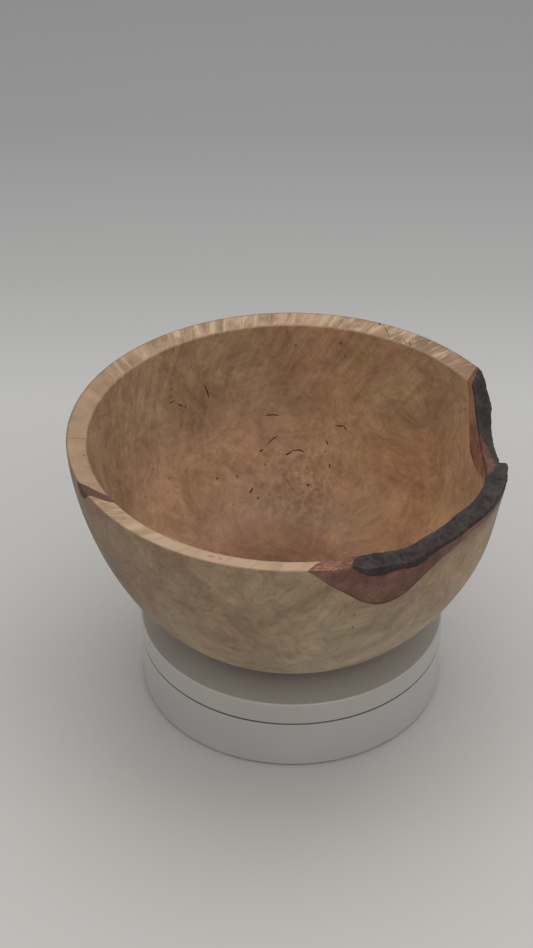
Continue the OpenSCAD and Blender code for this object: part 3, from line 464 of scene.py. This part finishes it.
def maths(tree, operation, *values):
    """One arithmetic node on plain values or sockets."""
    node = add(tree, "ShaderNodeMath", dict(enumerate(values)), operation=operation)
    return node.outputs[0]


def vectors(tree, operation, *values, **named):
    """One vector node on plain values or sockets; DISTANCE gives a number, the others a vector."""
    node = add(tree, "ShaderNodeVectorMath", {**dict(enumerate(values)), **named}, operation=operation)
    return node.outputs["Value" if operation == "DISTANCE" else "Vector"]


def noise(tree, vector, scale, detail=4.0, roughness=0.55, distortion=0.0, output="Fac"):
    """Fractal noise on the given coordinates, in features per metre."""
    node = add(tree, "ShaderNodeTexNoise", {
        "Vector": vector, "Scale": scale, "Detail": detail, "Roughness": roughness, "Distortion": distortion})
    return node.outputs[output]


def bump(tree, shader, height, strength, depth):
    """Joins a height to the shader's normal; depth is in metres."""
    node = add(tree, "ShaderNodeBump", {"Height": height, "Strength": strength, "Distance": depth})
    tree.links.new(node.outputs["Normal"], shader.inputs["Normal"])


def mark(tree, name):
    """A value stored on the mesh's points."""
    return add(tree, "ShaderNodeAttribute", attribute_name=name).outputs["Fac"]


def wrapped(tree, place, squeeze, slant):
    """Coordinates round the turning axis: the direction from the axis times the rim's radius, turned on by
    slant with the way along the profile, and that way, squeezed, as height. Streaks in them run up the
    wall and across the rim, seamless."""
    run = part(tree, add(tree, "ShaderNodeUVMap", uv_map="UVMap").outputs["UV"], "Y")
    way = vectors(tree, "NORMALIZE", vectors(tree, "MULTIPLY", place, (1.0, 1.0, 0.0)))
    turn = {"Vector": way, "Angle": maths(tree, "MULTIPLY", run, slant)}
    way = add(tree, "ShaderNodeVectorRotate", turn, rotation_type="Z_AXIS").outputs[0]
    way = vectors(tree, "SCALE", way, Scale=RIM_R * MM)
    lift = add(tree, "ShaderNodeCombineXYZ", {"Z": maths(tree, "MULTIPLY", run, squeeze)}).outputs[0]
    return vectors(tree, "ADD", way, lift)


def pushed(tree, vector, scale, amount):
    """Coordinates shifted by a slow noise, so that a figure in them swirls."""
    push = noise(tree, vector, scale, 2.0, output="Color")
    shift = vectors(tree, "SUBTRACT", push, (0.5, 0.5, 0.5))
    return vectors(tree, "ADD", vector, vectors(tree, "SCALE", shift, Scale=amount))


def rim_colour(tree, place):
    """The rim's face: brown to pale tan by place, crossed by bright and dark streaks of the cut figure, with
    a dark line of painted shade along its outer corner, for the shadow under the rim's edge."""
    across = pushed(tree, wrapped(tree, place, 0.22, -3.7), 90.0, 0.009)
    cross = noise(tree, across, 235.0, 5.0, 0.70, 0.4)
    patch = noise(tree, place, 85.0, 4.0, 0.65)
    cluster = noise(tree, place, 48.0, 2.0)
    streak = mark(tree, "rim_streak")
    patch = maths(tree, "MULTIPLY", maths(tree, "SUBTRACT", patch, 0.5), 1.8)
    patch = maths(tree, "MULTIPLY", patch, maths(tree, "ADD", streak, 0.3))
    pale = maths(tree, "ADD", mark(tree, "rim_pale"), patch)
    body = ramp(tree, pale, [(0.0, (0.158, 0.092, 0.048)), (0.38, (0.230, 0.142, 0.078)),
                             (0.72, (0.315, 0.205, 0.115)), (1.0, (0.398, 0.265, 0.165))])
    body = mix(tree, maths(tree, "MULTIPLY", mark(tree, "near_bark"), 0.55), body, (0.200, 0.112, 0.064))
    bright = maths(tree, "MULTIPLY", ramp(tree, cross, [(0.51, 0.0), (0.60, 0.90)]), streak)
    body = mix(tree, bright, body, (0.455, 0.325, 0.188))
    dark = maths(tree, "MULTIPLY", ramp(tree, cross, [(0.34, 0.90), (0.46, 0.0)]),
                 ramp(tree, cluster, [(0.42, 0.30), (0.54, 1.0)]))
    dark = maths(tree, "MULTIPLY", dark, maths(tree, "ADD", streak, 0.1))
    body = mix(tree, dark, body, (0.135, 0.078, 0.044))
    # Painted shade: a dark line along the rim's outer corner.
    return mix(tree, maths(tree, "MULTIPLY", mark(tree, "rim_corner_shade"), 0.6), body, (0.10, 0.065, 0.045))


def burl_figure(tree, place, swirled, fine):
    """The wood's own clouds, slow changes of hue, fine fleck, the grain that runs up the walls, and a few
    pale growth lines."""
    body = ramp(tree, noise(tree, swirled, 30.0, 6.0, 0.62, 0.6),
                [(0.30, WOOD_DARK), (0.50, WOOD_MID), (0.72, WOOD_PALE)])
    hue = noise(tree, place, 13.0, 2.0)
    body = tinted(tree, body, ramp(tree, hue, [(0.38, (1.05, 0.97, 0.95)), (0.62, (0.97, 1.01, 0.98))]))
    body = tinted(tree, body, ramp(tree, fine, [(0.28, 0.76), (0.72, 1.22)]))
    grain = noise(tree, pushed(tree, wrapped(tree, place, 0.13, -6.0), 34.0, 0.010), 230.0, 4.0, 0.6, 0.2)
    wall = maths(tree, "MULTIPLY", ramp(tree, part(tree, place, "Z"), [(0.080, 0.12), (0.125, 1.0)]),
                 ramp(tree, mark(tree, "on_inside"), [(0.0, 0.35), (1.0, 1.0)]))
    dark = maths(tree, "MULTIPLY", ramp(tree, grain, [(0.34, 0.42), (0.46, 0.0)]), wall)
    body = mix(tree, dark, body, (0.165, 0.108, 0.070))
    pale = maths(tree, "MULTIPLY", ramp(tree, grain, [(0.55, 0.0), (0.68, 0.38)]), wall)
    body = mix(tree, pale, body, (0.420, 0.318, 0.235))
    rings = noise(tree, swirled, 22.0, 2.0, 0.5, 0.8)
    growth = ramp(tree, rings, [(0.485, 0.0), (0.497, 0.13), (0.503, 0.13), (0.515, 0.0)])
    return mix(tree, growth, body, (0.44, 0.33, 0.24))


def floor_figure(tree, place, body):
    """The darker heart on the bowl's floor with its broken pale boundary, and the speckled patch of eyes:
    each by distance from its middle on the plan."""
    inside = mark(tree, "on_inside")
    flat = vectors(tree, "MULTIPLY", pushed(tree, place, 45.0, 0.014), (1.0, 1.0, 0.0))
    off = vectors(tree, "DISTANCE", flat, HEART_AT)
    heart = maths(tree, "MULTIPLY", ramp(tree, off, [(0.0300, 1.0), (0.0330, 0.0)]), inside)
    body = mix(tree, heart, body, tinted(tree, body, HEART_TINT))
    boundary = ramp(tree, off, [(0.0322, 0.0), (0.0330, 0.34), (0.0337, 0.34), (0.0345, 0.0)])
    gaps = ramp(tree, noise(tree, place, 60.0, 2.0), [(0.40, 0.0), (0.55, 1.0)])
    boundary = maths(tree, "MULTIPLY", maths(tree, "MULTIPLY", boundary, gaps), inside)
    body = mix(tree, boundary, body, (0.46, 0.32, 0.22))
    eyes = maths(tree, "MULTIPLY",
                 ramp(tree, vectors(tree, "DISTANCE", flat, EYES_AT), [(0.007, 0.75), (0.024, 0.0)]),
                 ramp(tree, noise(tree, place, 330.0, 3.0, 0.6), [(0.46, 0.0), (0.60, 1.0)]))
    return mix(tree, maths(tree, "MULTIPLY", eyes, inside), body, (0.165, 0.095, 0.070))


def wall_tint(tree, place):
    """How the oiled wood's hue drifts: warmer or greyer across the bowl, pinker on the floor and browner
    towards the foot, with the inside and the outside each by its own tints. These two tints are painted
    light:
    the inside's orange stands for light bounced between its walls, the outside's grey for the grey surround."""
    height = part(tree, place, "Z")
    across = share_of_way(tree, part(tree, place, "X"), -0.085, 0.095)
    tint = ramp(tree, across, [(0.0, (0.91, 0.86, 0.76)), (0.60, INSIDE_BOUNCE_TINT), (0.80, INSIDE_BOUNCE_TINT),
                               (0.97, (1.08, 0.98, 0.82))])
    tint = tinted(tree, tint, ramp(tree, height, [(0.050, (1.05, 0.95, 0.92)), (0.075, (1.0, 1.0, 1.0))]))
    outer = ramp(tree, across, [(0.0, (1.02, 0.97, 0.98)), (0.45, (1.0, 1.0, 1.0)), (0.75, (1.0, 1.0, 1.0)),
                                (1.0, (1.04, 1.07, 1.00))])
    browner = ramp(tree, height, [(0.050, (1.11, 1.25, 1.35)), (0.085, (1.02, 1.07, 1.07)),
                                  (0.120, (1.0, 0.985, 0.965))])
    outer = tinted(tree, tinted(tree, OUTSIDE_SURROUND_TINT, outer), browner)
    return mix(tree, mark(tree, "on_inside"), outer, tint)


def burl_material():
    """Cloudy figure on swirled coordinates, the floor's own figure, a warm edge beside the bark, the walls'
    drift of tone and hue, with painted shade on the outside's left and painted bounce light inside, and the
    rim's crossed face."""
    material, tree, shader, place = new_material("burl")
    swirled = pushed(tree, place, 16.0, 0.05)
    fine = noise(tree, swirled, 250.0, 6.0, 0.72, 0.8)
    body = floor_figure(tree, place, burl_figure(tree, place, swirled, fine))
    body = mix(tree, maths(tree, "MULTIPLY", mark(tree, "near_bark"), 0.30), body, (0.380, 0.250, 0.165))
    body = mix(tree, maths(tree, "MULTIPLY", mark(tree, "under_bark"), 0.75), body, (0.180, 0.108, 0.074))
    # tone holds the wood's lightness, with painted shade on the outside's left side.
    tone = add(tree, "ShaderNodeCombineXYZ", dict.fromkeys("XYZ", mark(tree, "tone"))).outputs[0]
    body = tinted(tree, body, tone)
    scaly = noise(tree, swirled, 105.0, 4.0, 0.72, 0.5)
    body = tinted(tree, body, ramp(tree, scaly, [(0.32, 0.82), (0.5, 1.0), (0.68, 1.16)]))
    body = tinted(tree, body, wall_tint(tree, place))
    body = mix(tree, mark(tree, "on_rim"), body, rim_colour(tree, place))
    tree.links.new(body, shader.inputs["Base Color"])
    gloss = noise(tree, swirled, 60.0, 4.0)
    tree.links.new(ramp(tree, gloss, [(0.3, 0.40), (0.7, 0.54)]), shader.inputs["Roughness"])
    shader.inputs["Specular IOR Level"].default_value = 0.28
    bump(tree, shader, fine, 0.12, 0.0004)
    return material


bowl.data.materials.append(burl_material())
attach(bowl, "bowl")
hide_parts("bowl_wood")

# Bark
# Two layers of the log's own outside, left on where the rim meets it: a granular reddish inner bark,
# turned flush with the wood, and a dark, wrinkled outer bark whose top is as it weathered.
EDGE_COLUMNS = 520
LAYER_SIDE, LAYER_TOP = 9, 14
# Where a layer would stand above the rim, or comes within FLUSH of it, its top and underside are sunk
# this far below the rim's face and its sides are tucked in.
SUNK_TOP, SUNK_UNDER, TUCKED = 0.5, 0.8, 0.6
FLUSH = 0.02
# The outer bark's wrinkles lie this far apart, and are calmer between these azimuths.
GROOVE_EVERY = 4.6
CALM_STARTS, CALM_ENDS = (-14.0, -2.0), (10.0, 22.0)
# Where the outer bark has flaked off the top's inner part: rows are azimuth and share of the wall's width.
FLAKED = np.array([(-11, -0.1), (-8.5, 0.16), (-6.5, 0.30), (-4, 0.40), (0, 0.50), (3, 0.60), (6, 0.66),
                   (9, 0.42), (12, 0.18), (15.5, -0.1)], float)


def waves(points, length, amount, seed, count=14):
    """Irregular relief: a sum of sine waves of about the given length in random directions and phases."""
    random = np.random.default_rng(seed)
    way = random.normal(size=(count, 3))
    way /= np.linalg.norm(way, axis=1)[:, None]
    way *= (2 * np.pi / length) * random.uniform(0.6, 1.7, count)[:, None]
    phase = random.uniform(0, 2 * np.pi, count)
    return amount * np.sin(points @ way.T + phase).sum(axis=-1) / np.sqrt(count / 2)


def bark_band(low_layer, high_layer, top_relief, side_relief, seed):
    """A closed band between two layer surfaces: out along its underside, up the outer face, back over
    its top, and down the inner face, with relief on its top and sides, and marks for its top, its inner
    face and the part that has flaked. Where the layer would stand above the rim it is sunk instead."""
    az = np.linspace(EDGE_FROM, EDGE_TO, EDGE_COLUMNS)[:, None]
    over = np.linspace(0.0, 1.0, LAYER_TOP)
    up = np.linspace(0.0, 1.0, LAYER_SIDE)
    across = np.concatenate([over, np.ones(LAYER_SIDE - 2), over[::-1], np.zeros(LAYER_SIDE - 2)])[None, :]
    share = np.concatenate([np.zeros(LAYER_TOP), up[1:-1], np.ones(LAYER_TOP), up[1:-1][::-1]])[None, :]
    face = rim_face(across)
    covered = edge_height(low_layer, az, across) >= face - FLUSH
    low = np.where(covered, face - SUNK_UNDER, np.minimum(edge_height(low_layer, az, across), face))
    high = np.where(covered, face - SUNK_TOP, np.minimum(edge_height(high_layer, az, across), face))
    height = low + (high - low) * share
    radius = inner_radius(height) + (outer_radius(height) - inner_radius(height)) * across
    radius = radius - TUCKED * (2 * across - 1) * covered
    angle = np.radians(az)
    points = np.stack([radius * np.cos(angle), radius * np.sin(angle), height], axis=-1)
    thick = np.clip((high - low) / 2.0, 0.0, 1.0)
    calm = 1 - 0.7 * smooth_step(az, *CALM_STARTS) * (1 - smooth_step(az, *CALM_ENDS))
    rough = (waves(points, 6.0, 0.34, seed) + waves(points, 2.2, 0.08, seed + 1)) * calm
    run = angle * RIM_R + 1.2 * waves(points, 14.0, 1.0, seed + 2, 6) + 2.5 * across
    groove = (1 - np.abs(np.sin(np.pi * run / GROOVE_EVERY))) ** 3
    groove = groove * np.clip(0.6 + waves(points, 11.0, 0.4, seed + 3), 0, 1.2)
    is_top = (share >= 0.999) * thick
    crown = 0.12 + 0.88 * np.sin(np.pi * np.clip(across, 0.0, 1.0)) ** 0.6
    height = height + is_top * top_relief * crown * (rough + 0.25 - 0.8 * groove * calm)
    is_side = ((across > 0.999) * 1.0 - 0.3 * (across < 0.001)) * thick * np.sqrt(share)
    radius = radius + is_side * side_relief * (rough - 0.3 - 0.5 * groove)
    points = np.stack([radius * np.cos(angle), radius * np.sin(angle), height], axis=-1)
    limit = np.interp(az, FLAKED[:, 0], FLAKED[:, 1]) + 0.004 * waves(points, 3.0, 8.0, seed + 4)
    return dried(points), {"on_rim": (share >= 0.999) + 0 * height,
                           "on_inside": (across < 0.001) * (share < 0.999) + 0 * height,
                           "flaked": smooth_step(limit - across, -0.05, 0.05)}


red_points, red_marks = bark_band(0, 1, 0.15, 0.10, 5)
red_bark = surface("inner_bark_layer", red_points, round_v=True, caps=True, marks=red_marks)
dark_points, dark_marks = bark_band(1, 2, 1.0, 0.7, 11)
dark_bark = surface("outer_bark_layer", dark_points, round_v=True, caps=True, marks=dark_marks)


def red_bark_material(name, dark, mid, pale, cut=(1.0, 1.0, 1.0), cut_front=(1.0, 1.0, 1.0)):
    """Granular inner bark: fine grains of two sizes over slow changes of tone, tinted where the rim cuts
    it, palest at the front, and brighter on the inner wall, a painted light that lifts the shade there."""
    material, tree, shader, place = new_material(name)
    tone = noise(tree, place, 90.0, 4.0, 0.6)
    body = ramp(tree, tone, [(0.3, dark), (0.5, mid), (0.72, pale)])
    grains = noise(tree, place, 900.0, 3.0, 0.7)
    body = tinted(tree, body, ramp(tree, grains, [(0.3, 0.72), (0.7, 1.25)]))
    on_rim = mark(tree, "on_rim")
    far = share_of_way(tree, part(tree, place, "X"), 0.002, 0.032)
    body = tinted(tree, body, mix(tree, on_rim, (1.0, 1.0, 1.0), mix(tree, far, cut_front, cut)))
    coarse = noise(tree, place, 520.0, 2.0, 0.6)
    body = mix(tree, on_rim, body, tinted(tree, body, ramp(tree, coarse, [(0.36, 0.62), (0.64, 1.45)])))
    # Painted light: the face on the inner wall is lightened against the shade it stands in.
    body = mix(tree, mark(tree, "on_inside"), body, tinted(tree, body, (1.68, 1.66, 1.54)))
    tree.links.new(body, shader.inputs["Base Color"])
    shader.inputs["Roughness"].default_value = 0.62
    shader.inputs["Specular IOR Level"].default_value = 0.3
    bump(tree, shader, grains, 0.35, 0.0005)
    return material


def dark_bark_material():
    """Charcoal bark, paler in patches, and granular red where it has flaked off the inner bark."""
    material, tree, shader, place = new_material("weathered_bark")
    tone = noise(tree, place, 140.0, 6.0, 0.7)
    body = ramp(tree, tone, [(0.32, (0.016, 0.013, 0.012)), (0.52, (0.034, 0.026, 0.023)),
                             (0.75, (0.067, 0.053, 0.046))])
    bared = ramp(tree, tone, [(0.3, (0.072, 0.030, 0.019)), (0.5, (0.112, 0.048, 0.031)),
                              (0.72, (0.165, 0.078, 0.051))])
    body = mix(tree, mark(tree, "flaked"), body, bared)
    grit = noise(tree, place, 700.0, 3.0, 0.7)
    body = tinted(tree, body, ramp(tree, grit, [(0.3, 0.7), (0.7, 1.3)]))
    tree.links.new(body, shader.inputs["Base Color"])
    shader.inputs["Roughness"].default_value = 0.8
    shader.inputs["Specular IOR Level"].default_value = 0.3
    bump(tree, shader, maths(tree, "ADD", tone, maths(tree, "MULTIPLY", grit, 0.4)), 0.8, 0.0012)
    return material


red_bark.data.materials.append(red_bark_material(
    "red_inner_bark", (0.084, 0.036, 0.025), (0.130, 0.060, 0.042), (0.200, 0.105, 0.070),
    cut=(0.98, 0.75, 0.60), cut_front=(1.72, 1.70, 1.48)))
dark_bark.data.materials.append(dark_bark_material())
for layer, node, slot in ((red_bark, "inner_bark", "bark_red"), (dark_bark, "outer_bark", "bark_dark")):
    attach(layer, "bowl")
    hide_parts(node)

# Bark pocket
# A wedge of reddish bark that grew into the burl. The rim cuts across it on the left: it is wide and deep
# at the outer wall, slants over the rim's face, and is gone at the inner wall.
POCKET_ROWS, POCKET_COLUMNS = 40, 13
POCKET_AT, POCKET_SLANT = -153.2, 6.9
POCKET_HALF, POCKET_NARROWS, POCKET_ENDS = 3.4, 0.9, 0.5
POCKET_DEEP, POCKET_SHALLOW = 3.6, 0.9
POCKET_PROUD, POCKET_LIP = 0.10, 0.25
POCKET_OUT, POCKET_REACH = 1.012, 1.02


def pocket_grid():
    """Closed wedge: along runs from the outer wall to the inner edge, and the other way runs across the
    streak's top and back under it. Its middle slants over the rim, and it is deepest at the outer wall."""
    along = np.linspace(0.0, 1.0, POCKET_ROWS)[:, None]
    over = np.linspace(-1, 1, POCKET_COLUMNS)
    side = np.concatenate([over, over[::-1][1:-1]])[None, :]
    under = np.concatenate([np.zeros(POCKET_COLUMNS), np.ones(POCKET_COLUMNS - 2)])[None, :]
    middle = POCKET_AT + POCKET_SLANT * along
    half = POCKET_HALF - POCKET_NARROWS * along - POCKET_ENDS * along ** 3
    across = POCKET_OUT - POCKET_REACH * along
    azimuth = middle + half * side * (1 + 0.07 * np.sin(9 * along + 2 * side))
    top = POCKET_PROUD - POCKET_LIP * (np.abs(side) > 0.97)
    deep = (POCKET_DEEP * (1 - along) + POCKET_SHALLOW) * (1 - side ** 2)
    height = rim_face(np.clip(across, 0, 1)) + top * (1 - under) - under * deep
    radius = MOUTH_R + RIM_W * across
    angle = np.radians(azimuth)
    return np.stack([radius * np.cos(angle), radius * np.sin(angle), height + 0 * angle], axis=-1)


pocket = surface("bark_pocket_streak", pocket_grid(), round_v=True, caps=True)
pocket.data.materials.append(red_bark_material(
    "red_pocket_bark", (0.038, 0.013, 0.009), (0.066, 0.024, 0.015), (0.108, 0.045, 0.028)))
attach(pocket, "bowl")
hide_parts("bark_pocket")

# Bark flecks
# Small dark slits and pin-pricks of bark caught between the burl's eyes, each cut through by the wall.
# Rows: azimuth and height above the table at both ends, and width, in millimetres.
FLECKS = [
    (120.1, 114, 119.0, 106, 0.9), (132.0, 118, 131.8, 116.8, 1.0), (132.5, 114.2, 132.6, 113.2, 1.0),
    (133.7, 111.3, 131.7, 111.2, 0.8), (130.5, 108.7, 128.9, 106.5, 0.9), (127.8, 106.9, 128.1, 105, 0.7),
    (100.2, 92.8, 95.2, 92.5, 0.8), (74.8, 89.5, 71.6, 90, 0.9), (71.9, 89.4, 70.8, 88.3, 0.9),
    (95.8, 83.1, 99.8, 79.8, 0.7), (101.8, 77.8, 103.5, 76.7, 0.9), (93.0, 74.7, 90.6, 76.3, 1.0),
    (90.6, 76.3, 86.3, 76.5, 0.6), (87.9, 77.3, 85.9, 76.1, 0.8), (77.8, 81.8, 76.9, 80.1, 0.9),
    (77.8, 77.3, 77.3, 77, 1.0), (75.4, 72.2, 74.8, 70.6, 0.8), (83.7, 63.2, 82.8, 63.2, 1.1),
    (114.6, 69.2, 114.1, 67.9, 0.9), (110.7, 61.7, 108.5, 63.1, 1.0), (123.5, 70.4, 122.8, 69.5, 1.1),
    (148.8, 87.6, 148.7, 87, 1.0), (143.5, 79.6, 143.4, 79.1, 1.0), (102.0, 71.9, 101.3, 70.6, 0.6),
    (106.7, 59.8, 107.9, 59.3, 0.9), (120.3, 59.6, 120.1, 59.2, 0.9), (168.9, 127.8, 168.4, 126.8, 1.1),
    (89.9, 127.8, 89.3, 127.3, 0.9), (76.1, 131.1, 75.4, 129.7, 0.9), (74.2, 124.8, 73.8, 123.3, 0.8)]
OUTER_FLECKS = [
    (-68.9, 115.6, -68.7, 114.9, 1.1), (-74.0, 110.3, -73.8, 109.6, 1.0), (-73.9, 101.4, -73.5, 100.2, 0.9)]
# On the rim, rows hold radius in place of height.
RIM_CRACKS = [
    (65.6, 102.9, 60.6, 94.5, 0.36), (66.4, 102.8, 65.2, 101.4, 1.0), (54.8, 96.8, 53.4, 94.4, 0.6),
    (56.6, 97.6, 55.0, 94.6, 0.4), (-175.1, 102.6, -176.2, 94.6, 0.22), (-168.5, 96.0, -167.9, 95.3, 0.7),
    (-110.9, 98.6, -108.9, 98.2, 0.5), (-108.2, 97.4, -107.0, 98.6, 0.5)]
FLECK_LONG, FLECK_ROUND = 9, 6
FLECK_PROUD, FLECK_IN = 0.05, 0.5


def in_inner_wall(height, proud):
    """Radius and height of a point that far proud of the inner wall."""
    return inner_radius(height) - proud, height


def in_outer_wall(height, proud):
    """Radius and height of a point that far proud of the outer wall."""
    return outer_radius(height) + proud, height


def in_rim(radius, proud):
    """Radius and height of a point that far proud of the rim's face."""
    return radius, rim_face((radius - MOUTH_R) / RIM_W) + proud


def lens_strips(rows, lay):
    """Closed lens-shaped strips laid in a surface: each runs between two places on it, bows a little,
    swells in the middle, stands a hair proud and reaches half a millimetre in. lay gives the radius and
    height of a point that far proud of the surface."""
    ends = np.array(rows, float)
    s = np.linspace(0.0, 1.0, FLECK_LONG)[None, :, None]
    turn = np.linspace(0, 2 * np.pi, FLECK_ROUND, endpoint=False)[None, None, :]
    az0, z0, az1, z1, width = (ends[:, k, None, None] for k in range(5))
    mean_r = lay((z0 + z1) / 2, 0.0)[0]
    dx, dz = np.radians(az1 - az0) * mean_r, z1 - z0
    length = np.hypot(dx, dz)
    bows_to = np.where(np.arange(len(rows)) % 2, 1, -1)[:, None, None]
    bow = 0.05 * length * np.sin(np.pi * s) * bows_to
    half = 0.65 * width * np.sqrt(np.sin(np.pi * np.clip(s, 0.02, 0.98))) * np.cos(turn)
    flat_x = dx * s + (bow + half) * (-dz / length)
    flat_z = dz * s + (bow + half) * (dx / length)
    depth = np.where(np.sin(turn) > 0.01, FLECK_PROUD, -FLECK_IN)
    radius, height = lay(z0 + flat_z, depth)
    angle = np.radians(az0) + flat_x / mean_r
    return np.stack([radius * np.cos(angle), radius * np.sin(angle), height + 0 * angle], axis=-1)


def join_strips(name, grids):
    """One mesh from many small closed grids, each with its ends capped."""
    points, faces, start = [], [], 0
    for grid in grids:
        count, nu, nv = grid.shape[:3]
        index = np.arange(count * nu * nv).reshape(count, nu, nv) + start
        ring = np.concatenate([index, index[:, :, :1]], axis=2)
        quads = np.stack([ring[:, :-1, :-1], ring[:, 1:, :-1], ring[:, 1:, 1:], ring[:, :-1, 1:]], axis=-1)
        faces += quads.reshape(-1, 4).tolist() + index[:, 0].tolist() + index[:, -1, ::-1].tolist()
        points += (grid.reshape(-1, 3) * MM).tolist()
        start += count * nu * nv
    mesh = bpy.data.meshes.new(name)
    mesh.from_pydata(points, [], faces)
    return finish_mesh(name, mesh)


flecks = join_strips("bark_flecks", [
    lens_strips(FLECKS, in_inner_wall), lens_strips(OUTER_FLECKS, in_outer_wall),
    lens_strips(RIM_CRACKS, in_rim)])
flecks.data.materials.append(red_bark_material(
    "fleck_bark", (0.014, 0.005, 0.003), (0.030, 0.011, 0.006), (0.080, 0.038, 0.021)))
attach(flecks, "bowl")

# Stand
# Two white mouldings with a fine satin skin: the platter above the seam, which turns, and the base below
# it, closed underneath by a plain cover with its battery door and a black rubber ring to stand on.
SEAM_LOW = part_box("base_shell")[1].z / MM
SEAM_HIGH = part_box("platter_shell")[0].z / MM
# Painted shade: the dark of the shadowed gap where the platter sits on the base.
SEAM_SHADE = (0.030, 0.026, 0.024)


def moulded(name, rgb, rough, grain=2600.0, depth=0.00003, mottle=0.04, seam=None):
    """Moulded plastic: one colour with a slight slow mottle, and a fine even skin. seam is the pair of
    heights between which the shell darkens to painted shade, the shadow in the gap where the two shells meet."""
    material, tree, shader, place = new_material(name)
    tone = noise(tree, place, 22.0, 3.0)
    body = tinted(tree, rgb, ramp(tree, tone, [(0.3, 1 - mottle), (0.7, 1 + mottle)]))
    if seam:
        body = mix(tree, share_of_way(tree, part(tree, place, "Z"), seam[0] * MM, seam[1] * MM), body, SEAM_SHADE)
    tree.links.new(body, shader.inputs["Base Color"])
    skin = noise(tree, place, grain, 2.0)
    tree.links.new(ramp(tree, skin, [(0.3, rough - 0.05), (0.7, rough + 0.05)]), shader.inputs["Roughness"])
    bump(tree, shader, skin, 0.3, depth)
    return material


def dress(material, *nodes):
    """Gives the frame's own nodes a finish."""
    for name in nodes:
        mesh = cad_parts[name].data
        mesh.materials.clear()
        mesh.materials.append(material)


# Painted shade of the seam: the platter darkens over its lowest tenth of a millimetre, the base over its top
# lip.
platter_skin = moulded("platter_skin", (0.366, 0.340, 0.310), 0.34, seam=(SEAM_HIGH + 0.10, SEAM_HIGH + 0.02))
base_skin = moulded("base_skin", (0.368, 0.361, 0.343), 0.34, seam=(SEAM_LOW - 0.45, SEAM_LOW - 0.30))
for skin in (platter_skin, base_skin):
    gloss = skin.node_tree.nodes["Principled BSDF"]
    gloss.inputs["Coat Weight"].default_value = 0.85
    gloss.inputs["Coat Roughness"].default_value = 0.22
dress(platter_skin, "platter_shell")
dress(base_skin, "base_shell")
dress(moulded("cover_skin", (0.400, 0.392, 0.375), 0.60, 1500.0, 0.00008), "bottom_cover", "battery_door")
dress(moulded("foot_skin", (0.022, 0.022, 0.023), 0.80, 1200.0, 0.0001, 0.2), "foot_ring")

# Bearing and spindle
# Ground and polished bearing steel in a pressed brass cage, and a turned spindle. Plated screws hold the
# spindle to the platter, and the covers and cases to the base.


def stretched(tree, vector, scale, turn=(0.0, 0.0, 0.0)):
    """Coordinates turned and then stretched, for grain that runs one way."""
    node = add(tree, "ShaderNodeMapping", {"Vector": vector, "Scale": scale, "Rotation": turn})
    return node.outputs["Vector"]


def metal(name, rgb, rough, turned=(1.0, 1.0, 1.0), grain=1800.0):
    """Bare metal with fine tool marks that run the way the coordinates are stretched."""
    material, tree, shader, place = new_material(name)
    marks = noise(tree, stretched(tree, place, turned), grain, 3.0)
    body = tinted(tree, rgb, ramp(tree, marks, [(0.3, 0.9), (0.7, 1.08)]))
    tree.links.new(body, shader.inputs["Base Color"])
    shader.inputs["Metallic"].default_value = 1.0
    tree.links.new(ramp(tree, marks, [(0.3, rough - 0.06), (0.7, rough + 0.08)]), shader.inputs["Roughness"])
    bump(tree, shader, marks, 0.15, 0.00003)
    return material


dress(metal("ground_race", (0.60, 0.61, 0.63), 0.22, (1.0, 1.0, 12.0)), "bearing_outer_race",
      "bearing_inner_race")
dress(metal("polished_ball", (0.72, 0.73, 0.75), 0.12), "bearing_balls")
dress(metal("brass", (0.62, 0.45, 0.20), 0.32), "ball_cage", "output_bush", "switch_terminals")
dress(metal("turned_steel", (0.55, 0.56, 0.58), 0.30, (1.0, 1.0, 14.0)), "spindle", "wheel_axles",
      "output_shaft")
dress(metal("plated_screw", (0.56, 0.57, 0.59), 0.34), "cover_screws", "ring_gear_screws", "spindle_screws",
      "gearbox_screws", "spindle_washer", "retaining_screw")

# Drive and wheels
# Natural nylon gears, a dark moulded gearbox and a drawn steel motor can with a moulded end cap. Three
# dark moulded wheels on steel pins carry the platter's edge.
dress(moulded("natural_nylon", (0.62, 0.58, 0.47), 0.40), "ring_gear", "drive_pinion")
dress(moulded("dark_moulding", (0.045, 0.048, 0.052), 0.50), "gearbox_case", "gearbox_lid")
dress(moulded("wheel_moulding", (0.075, 0.078, 0.084), 0.55), "support_wheel_1", "support_wheel_2",
      "support_wheel_3")
dress(metal("motor_shell", (0.58, 0.58, 0.60), 0.35, (14.0, 1.0, 1.0)), "motor_can")
dress(moulded("motor_cap_moulding", (0.66, 0.66, 0.62), 0.45), "motor_end_cap")

# Battery and switch
# Plain shrink-sleeved cells between nickel-plated plates and springs, a black rocker switch pressed into
# the base's wall, and insulated wire between them and the motor.
dress(moulded("cell_wrap", (0.030, 0.075, 0.200), 0.28, 400.0), "battery_cells")
dress(metal("nickel", (0.62, 0.61, 0.57), 0.30), "contact_plates", "contact_springs")
dress(moulded("switch_moulding", (0.020, 0.020, 0.021), 0.42), "switch_body", "switch_rocker")
dress(moulded("wire_sleeve", (0.42, 0.030, 0.022), 0.38, 500.0), "wiring")
